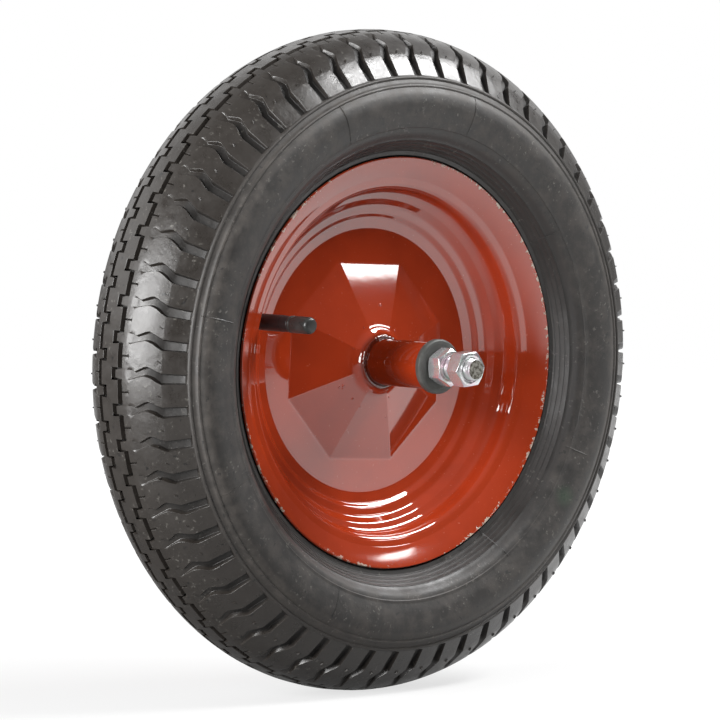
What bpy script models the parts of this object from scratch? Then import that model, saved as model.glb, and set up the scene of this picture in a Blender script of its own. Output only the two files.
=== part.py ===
"""Pneumatic wheelbarrow wheel with a pressed steel rim, roller bearings and a fixed threaded axle.

World frame: the axle lies along Y, +Z is up and the origin is the wheel's centre.
The valve side is the front and faces -Y. Turned pieces are drawn with their local Z
pointing out of the front (or out of the rear, for the rear copies).
"""

from math import atan2, cos, hypot, pi, radians, sin, tan, tau

import bmesh
import bpy
from mathutils import Matrix, Vector

MM = 0.001
GAP = 0.3 * MM                      # clearance kept between pieces that meet
MERGE = 0.01 * MM
SHARP = radians(32.0)               # edges bent more than this stay sharp

# hub and axle
AXLE_R = 6.0 * MM
AXLE_PROUD = 4.0 * MM               # axle's end past the outer nut
AXLE_CHAMFER = 1.0 * MM
HUB_R = 13.45 * MM
HUB_BORE_R = 10.0 * MM
HUB_HALF = 61.6 * MM
CAP_FLANGE_R = 15.5 * MM
CAP_FLANGE = 3.7 * MM
CAP_SPIGOT = 6.0 * MM
NUT_FLATS = 19.0 * MM
NUT_HEIGHT = 10.0 * MM
NUT_CHAMFER = radians(30.0)
NUT_FACE_SHARE = 0.96               # round face between the chamfers, as a share of the flats
BRACKET_SLOT = 6.2 * MM             # between inner and outer nut
INNER_NUT_TURN = 0.0                # both from a corner on top
OUTER_NUT_TURN = radians(34.5)
ROUND_FACETS = 18
CAP_FACETS = 16
SMALL_FACETS = 12

# rim halves, measured on the side that shows
SHEET = 1.5 * MM
RIM_HALF_W = 30.0 * MM              # flange edge to the mid-plane
SEAT_R = 98.0 * MM                  # inner end of the bead seat
FLANGE_HEIGHT = 18.5 * MM           # bead seat to flange edge
FLARE_FOOT = 7.0 * MM               # bead seat to the foot of the outer flare
FLARE_RUN = 6.4 * MM                # reach of the flare along the axle
HEEL_RISE = 0.8 * MM                # taper of the bead seat
HEEL_RUN = 8.0 * MM                 # flange edge to the seat's outer end
WELL_HALF_W = 13.0 * MM             # seat's inner end to the mid-plane
STEP_DROP = 9.7 * MM                # bend half way down the slope, below the seat
STEP_S = 6.2 * MM
WELL_DEPTH = 22.4 * MM              # seat to the outer edge of the welded ring
RING_WIDTH = 14.9 * MM              # welded ring, out of the octagon's corners
OCTAGON_SIDES = 8
OCTAGON_TURN = radians(18.8)
DISC_RISE = 10.0 * MM               # octagon foot to hub neck
NECK_FLARE = 3.55 * MM              # hub tube to the foot of the collar
COLLAR_RISE = 1.8 * MM
RIM_FACETS = 24
FLANGE_R = SEAT_R + FLANGE_HEIGHT
FLAT_RING_R = SEAT_R - WELL_DEPTH
OCTAGON_R = FLAT_RING_R - RING_WIDTH
NECK_R = HUB_R + NECK_FLARE

# tyre
SECTION_HEIGHT = 72.0 * MM          # flange edge to crown
TYRE_HALF_W = 44.6 * MM             # half width at the sidewall's bulge
BULGE_HEIGHT = 31.5 * MM            # flange edge to the widest place
RIDGE_HEIGHT = 43.8 * MM            # flange edge to the raised line between tread and sidewall
RIDGE_IN = 4.4 * MM                 # that line, in from the widest place
CARCASS = 5.4 * MM                  # wall of the sidewall
CROWN_WALL = 9.0 * MM               # crown thickness over the air space
SHOULDER_WALL = 7.5 * MM            # thickness under the tread's shoulder
SHOULDER_S = 29.5 * MM              # outer edge of the tread blocks
SHOULDER_DROP = 13.0 * MM           # how far that edge lies below the crown
CROWN_CURVE = 2.35                  # how late the tread falls off towards the shoulder
PITCHES = 58                        # tread blocks around each shoulder
RECESS_SHARE = 0.33                 # part of a pitch that the recess between blocks takes
WALL_SHARE = 0.05                   # part of a pitch that a block's wall leans over
MID_RECESS_DEPTH = 2.4 * MM
SHOULDER_RECESS_IN = 2.4 * MM       # recess floor at the shoulder, towards the mid-plane
SHOULDER_RECESS_DOWN = 3.2 * MM     # the same, towards the axle
FOOT_IN = 2.4 * MM                  # foot of the tread's flank, in from the raised line
FOOT_RISE = 3.4 * MM
FOOT_RECESS_IN = 2.0 * MM
FOOT_RECESS_DOWN = 0.6 * MM
ZIGZAG_IN = -1.5 * MM               # bend of the block's edge at mid block
ZIGZAG_OUT = 2.4 * MM               # bend of the block's edge at the shoulder
MID_BLOCK_S = 23.0 * MM
GROOVE_LONG_S = 8.4 * MM            # castellated groove beside a block
GROOVE_SHORT_S = 3.8 * MM           # castellated groove beside a recess
GROOVE_HALF_W = 1.0 * MM
GROOVE_DEPTH = 3.6 * MM
LOWER_WALL_DROP = 17.0 * MM         # sidewall's bend below the widest place
LOWER_WALL_IN = 4.1 * MM
LIP_IN = 2.2 * MM                   # bead against the flange's edge
LIP_OVER = 1.3 * MM
FLARE_LEAN = 0.9                    # share of the sheet's thickness that shows along the axle
HEEL_IN = 10.6 * MM                 # bead's heel, in from the flange edge
HEEL_OVER = 1.4 * MM
TOE_PAST = 2.0 * MM                 # bead's toe, past the seat's inner end
TOE_OVER = 0.9 * MM
AIR_LOW_DROP = 16.0 * MM            # air space at the lower sidewall
AIR_WIDE_RISE = 1.0 * MM
AIR_SHOULDER_IN = 5.0 * MM
TREAD_TURN = radians(-1.75)         # first block, from +X towards +Z
TYRE_STEPS = PITCHES // 2           # facets of the sidewalls and the air space
TYRE_R = FLANGE_R + SECTION_HEIGHT
BULGE_R = FLANGE_R + BULGE_HEIGHT
RIDGE_R = FLANGE_R + RIDGE_HEIGHT
RIDGE_S = TYRE_HALF_W - RIDGE_IN

# bearings
ROLLERS = 5
ROLLER_R = 1.7 * MM
ROLLER_LENGTH = 18.0 * MM
ROLLER_FACETS = 8
CAGE_END = 3.2 * MM                 # solid ring past each end of the rollers
CAGE_WALL_GAP = 0.5 * MM            # cage to hub tube
CAGE_R_IN = 6.9 * MM
POCKET_DEPTH = 8.0 * MM
SPACER_R_IN = 7.6 * MM

# inner tube
INNER_TUBE_WALL = 1.8 * MM
FLOOR_SINK = 2.5 * MM               # its inner side, below the bead seat
FLOOR_IN = 8.0 * MM                 # its floor's edge, in from the seat's inner end
MOUTH_DEPTH = 9.0 * MM              # cut that opens the mouth for the valve's foot
MOUTH_FACETS = 10
LOW_SLANT = 0.5                     # slants of its section, as shares of the inset
SHOULDER_SLANT_R = 0.8
SHOULDER_SLANT_S = 0.7
FLOOR_R = SEAT_R - FLOOR_SINK

# valve
VALVE_INSET = 8.0 * MM              # its axis, below the bead seat
VALVE_R = SEAT_R - VALVE_INSET
VALVE_ANGLE = radians(162.8)        # from +X towards +Z
STEM_R = 4.7 * MM
STEM_TIP = 37.0 * MM                # end of the rubber, from the mid-plane
STEM_ROOT = -2.4 * MM
AIR_R = 1.4 * MM
FOOT_R = 3.2 * MM                   # rubber foot that enters the inner tube
SLEEVE_TIP = 50.0 * MM
SLEEVE_ROOT = 14.0 * MM
SLEEVE_R = 3.8 * MM
SLEEVE_NECK_R = 2.7 * MM
CORE_BORE_R = 2.2 * MM
CORE_TIP = 48.6 * MM
CORE_ROOT = 34.0 * MM
SPRING_SEAT = 41.0 * MM
SPRING_R = 1.0 * MM
SPRING_WIRE_R = 0.14 * MM
SPRING_TURNS = 3
SPRING_POINTS = 5                   # points of the wire in one turn
VALVE_FACETS = 8
PIN_FACETS = 6
PIN_R = 0.5 * MM
PIN_HEAD_R = 1.15 * MM
PIN_HEAD = 0.9 * MM
PIN_TIP = 49.9 * MM
PIN_CUP_R = 1.7 * MM
PIN_CUP = 2.2 * MM
SLEEVE_STEP = 1.0 * MM              # cone between air bore and core bore
SLEEVE_STEP_DROP = 7.0 * MM         # that cone's upper end, below the core
DUCT_SHARE = 0.9                    # side duct's radius as a share of the air bore's
CAP_R = 4.9 * MM
CAP_TIP = 54.3 * MM
CAP_ROOF = 2.2 * MM
CAP_EDGE_IN = 1.47 * MM
CAP_EDGE_DOWN = 1.4 * MM

PAST = 1.0 * MM                     # how far a cutter runs past the face it opens
FRONT = (pi / 2, 0.0, 0.0)          # local Z turned to -Y
REAR = (-pi / 2, 0.0, 0.0)          # local Z turned to +Y
TYRE_PLACE = (pi / 2, -TREAD_TURN, 0.0)


def clear_scene():
    for obj in list(bpy.data.objects):
        bpy.data.objects.remove(obj, do_unlink=True)


def collection(name):
    found = bpy.data.collections.new(name)
    bpy.context.scene.collection.children.link(found)
    return found


clear_scene()
WHEEL = collection("wheelbarrow_wheel")
CUTTERS = collection("cutters")


def material(name, colour, roughness, metallic):
    made = bpy.data.materials.new(name)
    made.use_nodes = True
    made.diffuse_color = (*colour, 1.0)
    shader = made.node_tree.nodes["Principled BSDF"]
    shader.inputs["Base Color"].default_value = (*colour, 1.0)
    shader.inputs["Roughness"].default_value = roughness
    shader.inputs["Metallic"].default_value = metallic
    return made


TREAD_RUBBER = material("tread_rubber", (0.035, 0.034, 0.033), 0.55, 0.0)
TUBE_RUBBER = material("tube_rubber", (0.02, 0.02, 0.021), 0.6, 0.0)
RIM_PAINT = material("rim_paint", (0.52, 0.045, 0.02), 0.25, 0.0)
ZINC = material("zinc", (0.72, 0.73, 0.74), 0.3, 1.0)
STEEL = material("steel", (0.55, 0.55, 0.56), 0.3, 1.0)
BRASS = material("brass", (0.72, 0.52, 0.22), 0.3, 1.0)
GREY_PLASTIC = material("grey_plastic", (0.06, 0.06, 0.065), 0.5, 0.0)
CAGE_PLASTIC = material("cage_plastic", (0.75, 0.73, 0.66), 0.45, 0.0)
BLACK_PLASTIC = material("black_plastic", (0.015, 0.015, 0.016), 0.4, 0.0)


def place(name, mesh, finish, home=WHEEL, at=(0.0, 0.0, 0.0), turn=FRONT, smooth=True):
    obj = bpy.data.objects.new(name, mesh)
    home.objects.link(obj)
    obj.location = at
    obj.rotation_euler = turn
    if finish:
        mesh.materials.append(finish)
    if smooth:
        mesh.shade_smooth()
        mesh.set_sharp_from_angle(angle=SHARP)
    return obj


def outline_mesh(name, points, closed):
    mesh = bpy.data.meshes.new(name)
    count = len(points)
    edges = [(i, i + 1) for i in range(count - 1)]
    if closed:
        edges.append((count - 1, 0))
    mesh.from_pydata([(radius, 0.0, height) for radius, height in points], edges, [])
    return mesh


def turned(name, points, finish, facets=ROUND_FACETS, closed=True, **where):
    """Turn an outline of (radius, height) about local Z, its outer side running downwards."""
    obj = place(name, outline_mesh(name, points, closed), finish, smooth=False, **where)
    screw = obj.modifiers.new("turn", "SCREW")
    screw.axis = "Z"
    screw.angle = tau
    screw.steps = facets
    screw.render_steps = facets
    screw.use_merge_vertices = True
    screw.merge_threshold = MERGE
    screw.use_smooth_shade = True
    return obj


def cylinder_mesh(name, radius, low, high, facets):
    mesh = bpy.data.meshes.new(name)
    bm = bmesh.new()
    bmesh.ops.create_cone(
        bm,
        cap_ends=True,
        segments=facets,
        radius1=radius,
        radius2=radius,
        depth=high - low,
        matrix=Matrix.Translation((0.0, 0.0, (low + high) / 2)),
    )
    bm.to_mesh(mesh)
    bm.free()
    return mesh


def as_cutter(obj):
    obj.hide_render = True
    obj.display_type = "WIRE"
    return obj


def combine(obj, other, operation):
    step = obj.modifiers.new(other.name, "BOOLEAN")
    step.operation = operation
    step.solver = "EXACT"
    step.object = other


def tread_surface(s):
    """Radius of the tread's outer surface at a distance s from the mid-plane."""
    return TYRE_R - SHOULDER_DROP * (abs(s) / SHOULDER_S) ** CROWN_CURVE


def around(radius):
    """Radius of a facet corner whose facet then clears a circle of the given radius."""
    return radius / cos(pi / TYRE_STEPS)


def rim_outline():
    """The side that shows of one half, as (radius, distance from the mid-plane), edge to collar."""
    ring_s = SHEET + GAP / 2
    return [
        (FLANGE_R, RIM_HALF_W),
        (SEAT_R + FLARE_FOOT, RIM_HALF_W - FLARE_RUN),
        (SEAT_R + HEEL_RISE, RIM_HALF_W - HEEL_RUN),
        (SEAT_R, WELL_HALF_W),
        (SEAT_R - STEP_DROP, STEP_S),
        (FLAT_RING_R, ring_s),
        (OCTAGON_R, ring_s),
        (NECK_R, ring_s + DISC_RISE),
        (HUB_R + GAP + SHEET, ring_s + DISC_RISE + COLLAR_RISE),
    ]


def rim_half(name, turn):
    """Spin the sheet's line, square the disc's foot off to an octagon and give it thickness."""
    line = rim_outline()
    bm = bmesh.new()
    verts = [bm.verts.new((radius, 0.0, height)) for radius, height in line]
    edges = [bm.edges.new(pair) for pair in zip(verts, verts[1:])]
    bmesh.ops.spin(
        bm,
        geom=verts + edges,
        cent=(0.0, 0.0, 0.0),
        axis=(0.0, 0.0, 1.0),
        angle=tau,
        steps=RIM_FACETS,
        use_merge=True,
    )
    bmesh.ops.remove_doubles(bm, verts=bm.verts, dist=MERGE)
    bmesh.ops.rotate(bm, verts=bm.verts, matrix=Matrix.Rotation(OCTAGON_TURN, 3, "Z"))
    side = tau / OCTAGON_SIDES
    for vert in bm.verts:
        if abs(hypot(vert.co.x, vert.co.y) - OCTAGON_R) < MERGE:
            along = (atan2(vert.co.y, vert.co.x) - OCTAGON_TURN) % side
            vert.co.xy *= cos(side / 2) / cos(along - side / 2)
    bmesh.ops.recalc_face_normals(bm, faces=bm.faces)
    mesh = bpy.data.meshes.new(name)
    bm.to_mesh(mesh)
    bm.free()
    obj = place(name, mesh, RIM_PAINT, turn=turn)
    wall = obj.modifiers.new("sheet", "SOLIDIFY")
    wall.thickness = SHEET
    wall.use_even_offset = True
    face = mesh.polygons[0]
    wall.offset = -1.0 if face.normal.z > 0 else 1.0
    return obj


def valve_place():
    return Vector((VALVE_R * cos(VALVE_ANGLE), 0.0, VALVE_R * sin(VALVE_ANGLE)))


def tread_lines():
    """Lines across one half of the tread: block and recess position (s, radius) and edge bend."""
    def groove(centre):
        edge = GROOVE_HALF_W
        return [
            (centre - edge, tread_surface(centre - edge)),
            (centre, tread_surface(centre) - GROOVE_DEPTH),
            (centre + edge, tread_surface(centre + edge)),
        ]

    lines = [
        (beside_block, beside_recess, 0.0)
        for beside_block, beside_recess in zip(groove(GROOVE_LONG_S), groove(GROOVE_SHORT_S))
    ]
    mid = tread_surface(MID_BLOCK_S)
    lines.append(((MID_BLOCK_S, mid), (MID_BLOCK_S, mid - MID_RECESS_DEPTH), ZIGZAG_IN))
    shoulder = tread_surface(SHOULDER_S)
    sunk = (SHOULDER_S - SHOULDER_RECESS_IN, shoulder - SHOULDER_RECESS_DOWN)
    lines.append(((SHOULDER_S, shoulder), sunk, ZIGZAG_OUT))
    foot_s, foot_r = RIDGE_S - FOOT_IN, RIDGE_R + FOOT_RISE
    sunk = (foot_s - FOOT_RECESS_IN, foot_r - FOOT_RECESS_DOWN)
    lines.append(((foot_s, foot_r), sunk, ZIGZAG_OUT))
    return lines


def outer_side():
    """Sidewall and bead of one half, from the ridge to the bead's toe, as (s, radius)."""
    clear = SHEET + GAP
    return [
        (RIDGE_S, RIDGE_R),
        (TYRE_HALF_W, BULGE_R),
        (TYRE_HALF_W - LOWER_WALL_IN, BULGE_R - LOWER_WALL_DROP),
        (RIM_HALF_W - LIP_IN - clear * FLARE_LEAN, around(FLANGE_R + LIP_OVER)),
        (RIM_HALF_W - HEEL_IN, around(SEAT_R + clear + HEEL_OVER)),
        (WELL_HALF_W - TOE_PAST, around(SEAT_R + clear + TOE_OVER)),
    ]


def air_side():
    """Inner surface of the carcass of one half, from above the bead to the crown."""
    return [
        (TYRE_HALF_W - LOWER_WALL_IN - CARCASS, BULGE_R - AIR_LOW_DROP),
        (TYRE_HALF_W - CARCASS, BULGE_R + AIR_WIDE_RISE),
        (SHOULDER_S - AIR_SHOULDER_IN, TYRE_R - SHOULDER_DROP - SHOULDER_WALL),
    ]


def crown_air():
    return (0.0, TYRE_R - CROWN_WALL)


def tyre():
    """One sector of two pitches, copied around the axle and closed up."""
    pitch = tau / PITCHES
    block, floor_a = 0.0, WALL_SHARE
    floor_b, next_block = RECESS_SHARE - WALL_SHARE, RECESS_SHARE
    bm = bmesh.new()

    def vertex(side, s, radius, angle):
        return bm.verts.new((radius * cos(angle), radius * sin(angle), side * s))

    def tread_row(side, line, shift):
        top, sunk, bend = line
        row = []
        for index in range(9):
            turn, place_in_pitch = divmod(index, 4)
            share = (block, floor_a, floor_b, next_block)[place_in_pitch]
            s, radius = sunk if place_in_pitch in (1, 2) else top
            angle = (turn + share + shift) * pitch + bend / radius
            row.append(vertex(side, s, radius, angle))
        return row

    def plain_row(side, point):
        return [vertex(side, *point, step * 2 * pitch) for step in (0, 1)]

    def bridge(upper, lower):
        for i in range(len(upper) - 1):
            bm.faces.new((upper[i], lower[i], lower[i + 1], upper[i + 1]))

    def bridge_down(side, rows):
        for upper, lower in zip(rows, rows[1:]):
            if side > 0:
                bridge(upper, lower)
            else:
                bridge(lower, upper)

    halves = {}
    for side, shift in ((1, 0.0), (-1, 0.5)):
        rows = [tread_row(side, line, shift) for line in tread_lines()]
        plain = [plain_row(side, point) for point in outer_side() + air_side()]
        halves[side] = rows, plain
        bridge_down(side, rows)
        bridge_down(side, plain)
        foot, ridge = rows[-1], plain[0]
        swap = 4 if side > 0 else 2
        fan = [(foot[i], ridge[0] if i < swap else ridge[1], foot[i + 1]) for i in range(8)]
        fan.append((foot[swap], ridge[0], ridge[1]))
        for corners in fan:
            bm.faces.new(corners if side > 0 else corners[::-1])

    bridge(halves[-1][0][0], halves[1][0][0])
    middle = plain_row(1, crown_air())
    bridge(halves[1][1][-1], middle)
    bridge(middle, halves[-1][1][-1])

    sector = bm.verts[:] + bm.edges[:] + bm.faces[:]
    for step in range(1, TYRE_STEPS):
        copy = bmesh.ops.duplicate(bm, geom=sector)
        moved = [item for item in copy["geom"] if isinstance(item, bmesh.types.BMVert)]
        turn = Matrix.Rotation(step * 2 * pitch, 3, "Z")
        bmesh.ops.rotate(bm, verts=moved, matrix=turn)
    bmesh.ops.remove_doubles(bm, verts=bm.verts, dist=2 * MERGE)
    bmesh.ops.recalc_face_normals(bm, faces=bm.faces)
    mesh = bpy.data.meshes.new("tyre")
    bm.to_mesh(mesh)
    bm.free()
    return place("tyre", mesh, TREAD_RUBBER, turn=TYRE_PLACE)


def tube_section(inset, coarse=False):
    """Section of the inner tube, set in from the carcass, as (radius, height) points."""
    low, wide, shoulder = air_side()
    side = [
        (FLOOR_R + inset, WELL_HALF_W - FLOOR_IN),
        (low[1] + inset * LOW_SLANT, low[0] - inset),
        (wide[1], wide[0] - inset),
        (shoulder[1] - inset * SHOULDER_SLANT_R, shoulder[0] - inset * SHOULDER_SLANT_S),
    ]
    if coarse:
        side = side[::2]
    lower = [(radius, -height) for radius, height in side]
    return [(crown_air()[1] - inset, 0.0)] + lower[::-1] + side


def inner_tube():
    """Soft rubber ring with a real wall; its only opening is the one the valve's foot fills."""
    line = tube_section(2 * GAP)
    tube = turned("inner_tube", line, TUBE_RUBBER, facets=TYRE_STEPS, turn=TYRE_PLACE)
    hollow = turned(
        "inner_tube_air",
        tube_section(2 * GAP + INNER_TUBE_WALL, coarse=True),
        None,
        facets=TYRE_STEPS,
        home=CUTTERS,
        turn=TYRE_PLACE,
    )
    combine(tube, as_cutter(hollow), "DIFFERENCE")
    high = FLOOR_R + MOUTH_DEPTH
    mouth = place(
        "inner_tube_mouth",
        cylinder_mesh("inner_tube_mouth", FOOT_R + GAP, VALVE_R, high, MOUTH_FACETS),
        None,
        home=CUTTERS,
        turn=(0.0, pi / 2 - VALVE_ANGLE, 0.0),
    )
    combine(tube, as_cutter(mouth), "DIFFERENCE")
    return tube


def nut(name, low, twist, turn):
    corner = NUT_FLATS / 3 ** 0.5
    mesh = cylinder_mesh(name, corner, low, low + NUT_HEIGHT, 6)
    mesh.transform(Matrix.Rotation(twist, 4, "Z"))
    obj = place(name, mesh, ZINC, turn=turn, smooth=False)
    slope = tan(NUT_CHAMFER)
    face_r = NUT_FLATS / 2 * NUT_FACE_SHARE
    high = low + NUT_HEIGHT
    low_r = face_r - PAST / slope
    wide = face_r + (NUT_HEIGHT + PAST) / slope
    chamfer = turned(
        name + "_chamfer",
        [(0.0, high + PAST), (low_r, high + PAST), (wide, low - PAST), (0.0, low - PAST)],
        None,
        facets=SMALL_FACETS,
        closed=False,
        home=CUTTERS,
        turn=turn,
    )
    combine(obj, as_cutter(chamfer), "INTERSECT")
    bore = place(
        name + "_bore",
        cylinder_mesh(name + "_bore", AXLE_R + 2 * GAP, low - PAST, high + PAST, SMALL_FACETS),
        None,
        home=CUTTERS,
        turn=turn,
    )
    combine(obj, as_cutter(bore), "DIFFERENCE")
    return obj


def cap_face():
    return HUB_HALF + GAP + CAP_FLANGE


def nut_seats():
    inner = cap_face() + GAP
    return inner, inner + NUT_HEIGHT + BRACKET_SLOT


def axle():
    end = nut_seats()[1] + NUT_HEIGHT + AXLE_PROUD
    edge = end - AXLE_CHAMFER
    small = AXLE_R - AXLE_CHAMFER
    outline = [(0.0, end), (small, end), (AXLE_R, edge), (AXLE_R, -edge), (small, -end), (0.0, -end)]
    return turned("axle", outline, ZINC, closed=False)


def ring(name, outer, inner, low, high, finish, facets=ROUND_FACETS, **where):
    outline = [(outer, high), (outer, low), (inner, low), (inner, high)]
    return turned(name, outline, finish, facets=facets, **where)


def dust_cap(name, turn):
    """Flange over the tube's end with a spigot pressed into its bore."""
    top, seat = cap_face(), HUB_HALF + GAP
    root = seat - CAP_SPIGOT
    bore, spigot = AXLE_R + 2 * GAP, HUB_BORE_R - GAP
    outline = [
        (CAP_FLANGE_R, top),
        (CAP_FLANGE_R, seat),
        (spigot, seat),
        (spigot, root),
        (bore, root),
        (bore, top),
    ]
    return turned(name, outline, GREY_PLASTIC, facets=CAP_FACETS, turn=turn)


def cage_span():
    """Low and high end of a roller cage, next to the dust cap's spigot."""
    high = HUB_HALF + GAP - CAP_SPIGOT - GAP
    return high - ROLLER_LENGTH - 2 * CAGE_END, high


def roller_circle():
    return (AXLE_R + HUB_BORE_R) / 2


def roller_cage(name, turn):
    low, high = cage_span()
    outer = HUB_BORE_R - CAGE_WALL_GAP
    cage = ring(name, outer, CAGE_R_IN, low, high, CAGE_PLASTIC, SMALL_FACETS, turn=turn)
    pockets = bmesh.new()
    for index in range(ROLLERS):
        spot = Matrix.Rotation(tau * index / ROLLERS, 4, "Z")
        spot @= Matrix.Translation((roller_circle(), 0.0, (low + high) / 2))
        size = Matrix.Diagonal((POCKET_DEPTH, 2 * (ROLLER_R + GAP), ROLLER_LENGTH + 2 * GAP, 1.0))
        bmesh.ops.create_cube(pockets, size=1.0, matrix=spot @ size)
    mesh = bpy.data.meshes.new(name + "_pockets")
    pockets.to_mesh(mesh)
    pockets.free()
    cutter = place(name + "_pockets", mesh, None, home=CUTTERS, turn=turn, smooth=False)
    combine(cage, as_cutter(cutter), "DIFFERENCE")
    return cage


def rollers(side_name, turn, facing):
    low, high = cage_span()
    middle, half = (low + high) / 2, ROLLER_LENGTH / 2
    mesh = cylinder_mesh("roller_" + side_name, ROLLER_R, -half, half, ROLLER_FACETS)
    mesh.materials.append(STEEL)
    for index in range(ROLLERS):
        angle = tau * index / ROLLERS
        across, up = roller_circle() * cos(angle), roller_circle() * sin(angle)
        at = (across, -facing * middle, facing * up)
        place("roller_%s_%d" % (side_name, index + 1), mesh, None, at=at, turn=turn, smooth=False)


def hub():
    axle()
    ring("hub_tube", HUB_R, HUB_BORE_R, -HUB_HALF, HUB_HALF, RIM_PAINT)
    reach = cage_span()[0] - GAP
    spacer_r = HUB_BORE_R - CAGE_WALL_GAP
    ring("hub_spacer", spacer_r, SPACER_R_IN, -reach, reach, STEEL, SMALL_FACETS)
    inner, outer = nut_seats()
    for side_name, turn, facing in (("front", FRONT, 1), ("rear", REAR, -1)):
        dust_cap("dust_cap_" + side_name, turn)
        roller_cage("roller_cage_" + side_name, turn)
        rollers(side_name, turn, facing)
        nut("inner_nut_" + side_name, inner, INNER_NUT_TURN, turn)
        nut("outer_nut_" + side_name, outer, OUTER_NUT_TURN, turn)


def valve_turned(name, outline, finish, facets, closed=True, home=WHEEL):
    at = valve_place()
    return turned(name, outline, finish, facets=facets, closed=closed, home=home, at=at)


def valve_stem():
    """Straight rubber stem with an elbow whose foot stands in the inner tube's mouth."""
    at = valve_place()
    shaft = cylinder_mesh("valve_stem", STEM_R, STEM_ROOT, STEM_TIP, MOUTH_FACETS)
    stem = place("valve_stem", shaft, TUBE_RUBBER, at=at)
    outward = (0.0, pi / 2 - VALVE_ANGLE, 0.0)
    reach = FLOOR_R + INNER_TUBE_WALL + 2 * GAP - VALVE_R
    foot = place(
        "valve_foot",
        cylinder_mesh("valve_foot", FOOT_R, 0.0, reach, VALVE_FACETS),
        None,
        home=CUTTERS,
        at=at,
        turn=outward,
    )
    combine(stem, as_cutter(foot), "UNION")
    neck_bore = SLEEVE_NECK_R + GAP
    bore = valve_turned(
        "valve_stem_bore",
        [
            (0.0, STEM_TIP + PAST),
            (neck_bore, STEM_TIP + PAST),
            (neck_bore, SLEEVE_ROOT - GAP),
            (AIR_R, SLEEVE_ROOT - GAP),
            (AIR_R, 0.0),
            (0.0, 0.0),
        ],
        None,
        VALVE_FACETS,
        closed=False,
        home=CUTTERS,
    )
    combine(stem, as_cutter(bore), "DIFFERENCE")
    duct = place(
        "valve_duct",
        cylinder_mesh("valve_duct", AIR_R * DUCT_SHARE, 0.0, reach + PAST, VALVE_FACETS),
        None,
        home=CUTTERS,
        at=at + Vector((0.0, -AIR_R, 0.0)),
        turn=outward,
    )
    combine(stem, as_cutter(duct), "DIFFERENCE")
    return stem


def valve_sleeve():
    outline = [
        (SLEEVE_R, SLEEVE_TIP),
        (SLEEVE_R, STEM_TIP + GAP),
        (SLEEVE_NECK_R, STEM_TIP + GAP),
        (SLEEVE_NECK_R, SLEEVE_ROOT),
        (AIR_R, SLEEVE_ROOT),
        (AIR_R, CORE_ROOT - SLEEVE_STEP_DROP - SLEEVE_STEP),
        (CORE_BORE_R, CORE_ROOT - SLEEVE_STEP_DROP),
        (CORE_BORE_R, SLEEVE_TIP),
    ]
    return valve_turned("valve_sleeve", outline, BRASS, VALVE_FACETS)


def valve_core():
    outer = CORE_BORE_R - GAP
    well = SPRING_R + SPRING_WIRE_R + GAP
    outline = [
        (outer, CORE_TIP),
        (outer, CORE_ROOT),
        (PIN_R + GAP, CORE_ROOT),
        (PIN_R + GAP, SPRING_SEAT - GAP),
        (well, SPRING_SEAT - GAP),
        (well, CORE_TIP),
    ]
    return valve_turned("valve_core", outline, BRASS, VALVE_FACETS)


def valve_pin():
    cup_top = CORE_ROOT - GAP
    head_low = PIN_TIP - PIN_HEAD
    outline = [
        (0.0, PIN_TIP),
        (PIN_HEAD_R, PIN_TIP),
        (PIN_HEAD_R, head_low),
        (PIN_R, head_low),
        (PIN_R, cup_top),
        (PIN_CUP_R, cup_top),
        (PIN_CUP_R, cup_top - PIN_CUP),
        (0.0, cup_top - PIN_CUP),
    ]
    return valve_turned("valve_pin", outline, BRASS, PIN_FACETS, closed=False)


def valve_spring():
    """Wire coil between the core's shoulder and the pin's head."""
    low = SPRING_SEAT + SPRING_WIRE_R
    high = PIN_TIP - PIN_HEAD - GAP - SPRING_WIRE_R
    count = SPRING_TURNS * SPRING_POINTS + 1
    curve = bpy.data.curves.new("valve_spring", "CURVE")
    curve.dimensions = "3D"
    curve.bevel_depth = SPRING_WIRE_R
    curve.bevel_resolution = 0
    curve.use_fill_caps = True
    spline = curve.splines.new("POLY")
    spline.points.add(count - 1)
    for index, point in enumerate(spline.points):
        angle = tau * index / SPRING_POINTS
        height = low + (high - low) * index / (count - 1)
        point.co = (SPRING_R * cos(angle), SPRING_R * sin(angle), height, 1.0)
    curve.materials.append(STEEL)
    coil = bpy.data.objects.new("valve_spring", curve)
    WHEEL.objects.link(coil)
    coil.location = valve_place()
    coil.rotation_euler = FRONT
    weld = coil.modifiers.new("caps", "WELD")
    weld.merge_threshold = MERGE
    return coil


def valve_cap():
    inside = SLEEVE_R + GAP
    outline = [
        (0.0, CAP_TIP),
        (CAP_R - CAP_EDGE_IN, CAP_TIP),
        (CAP_R, CAP_TIP - CAP_EDGE_DOWN),
        (CAP_R, STEM_TIP + GAP),
        (inside, STEM_TIP + GAP),
        (inside, CAP_TIP - CAP_ROOF),
        (0.0, CAP_TIP - CAP_ROOF),
    ]
    return valve_turned("valve_cap", outline, BLACK_PLASTIC, SMALL_FACETS, closed=False)


def rims():
    front = rim_half("rim_half_front", FRONT)
    hole = place(
        "rim_valve_hole",
        cylinder_mesh("rim_valve_hole", STEM_R + GAP, 0.0, RIM_HALF_W, SMALL_FACETS),
        None,
        home=CUTTERS,
        at=valve_place(),
    )
    combine(front, as_cutter(hole), "DIFFERENCE")
    rim_half("rim_half_rear", REAR)


rims()
tyre()
inner_tube()
hub()
valve_stem()
valve_sleeve()
valve_core()
valve_pin()
valve_spring()
valve_cap()
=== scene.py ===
"""Wheelbarrow wheel: detailed pieces, finishes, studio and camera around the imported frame.

World frame: metres, the axle along Y, +Z up and the origin at the wheel's centre.
The valve side is the front and faces -Y. A radius is measured from the axle, and s is the
distance from the wheel's mid-plane.
"""

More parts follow.
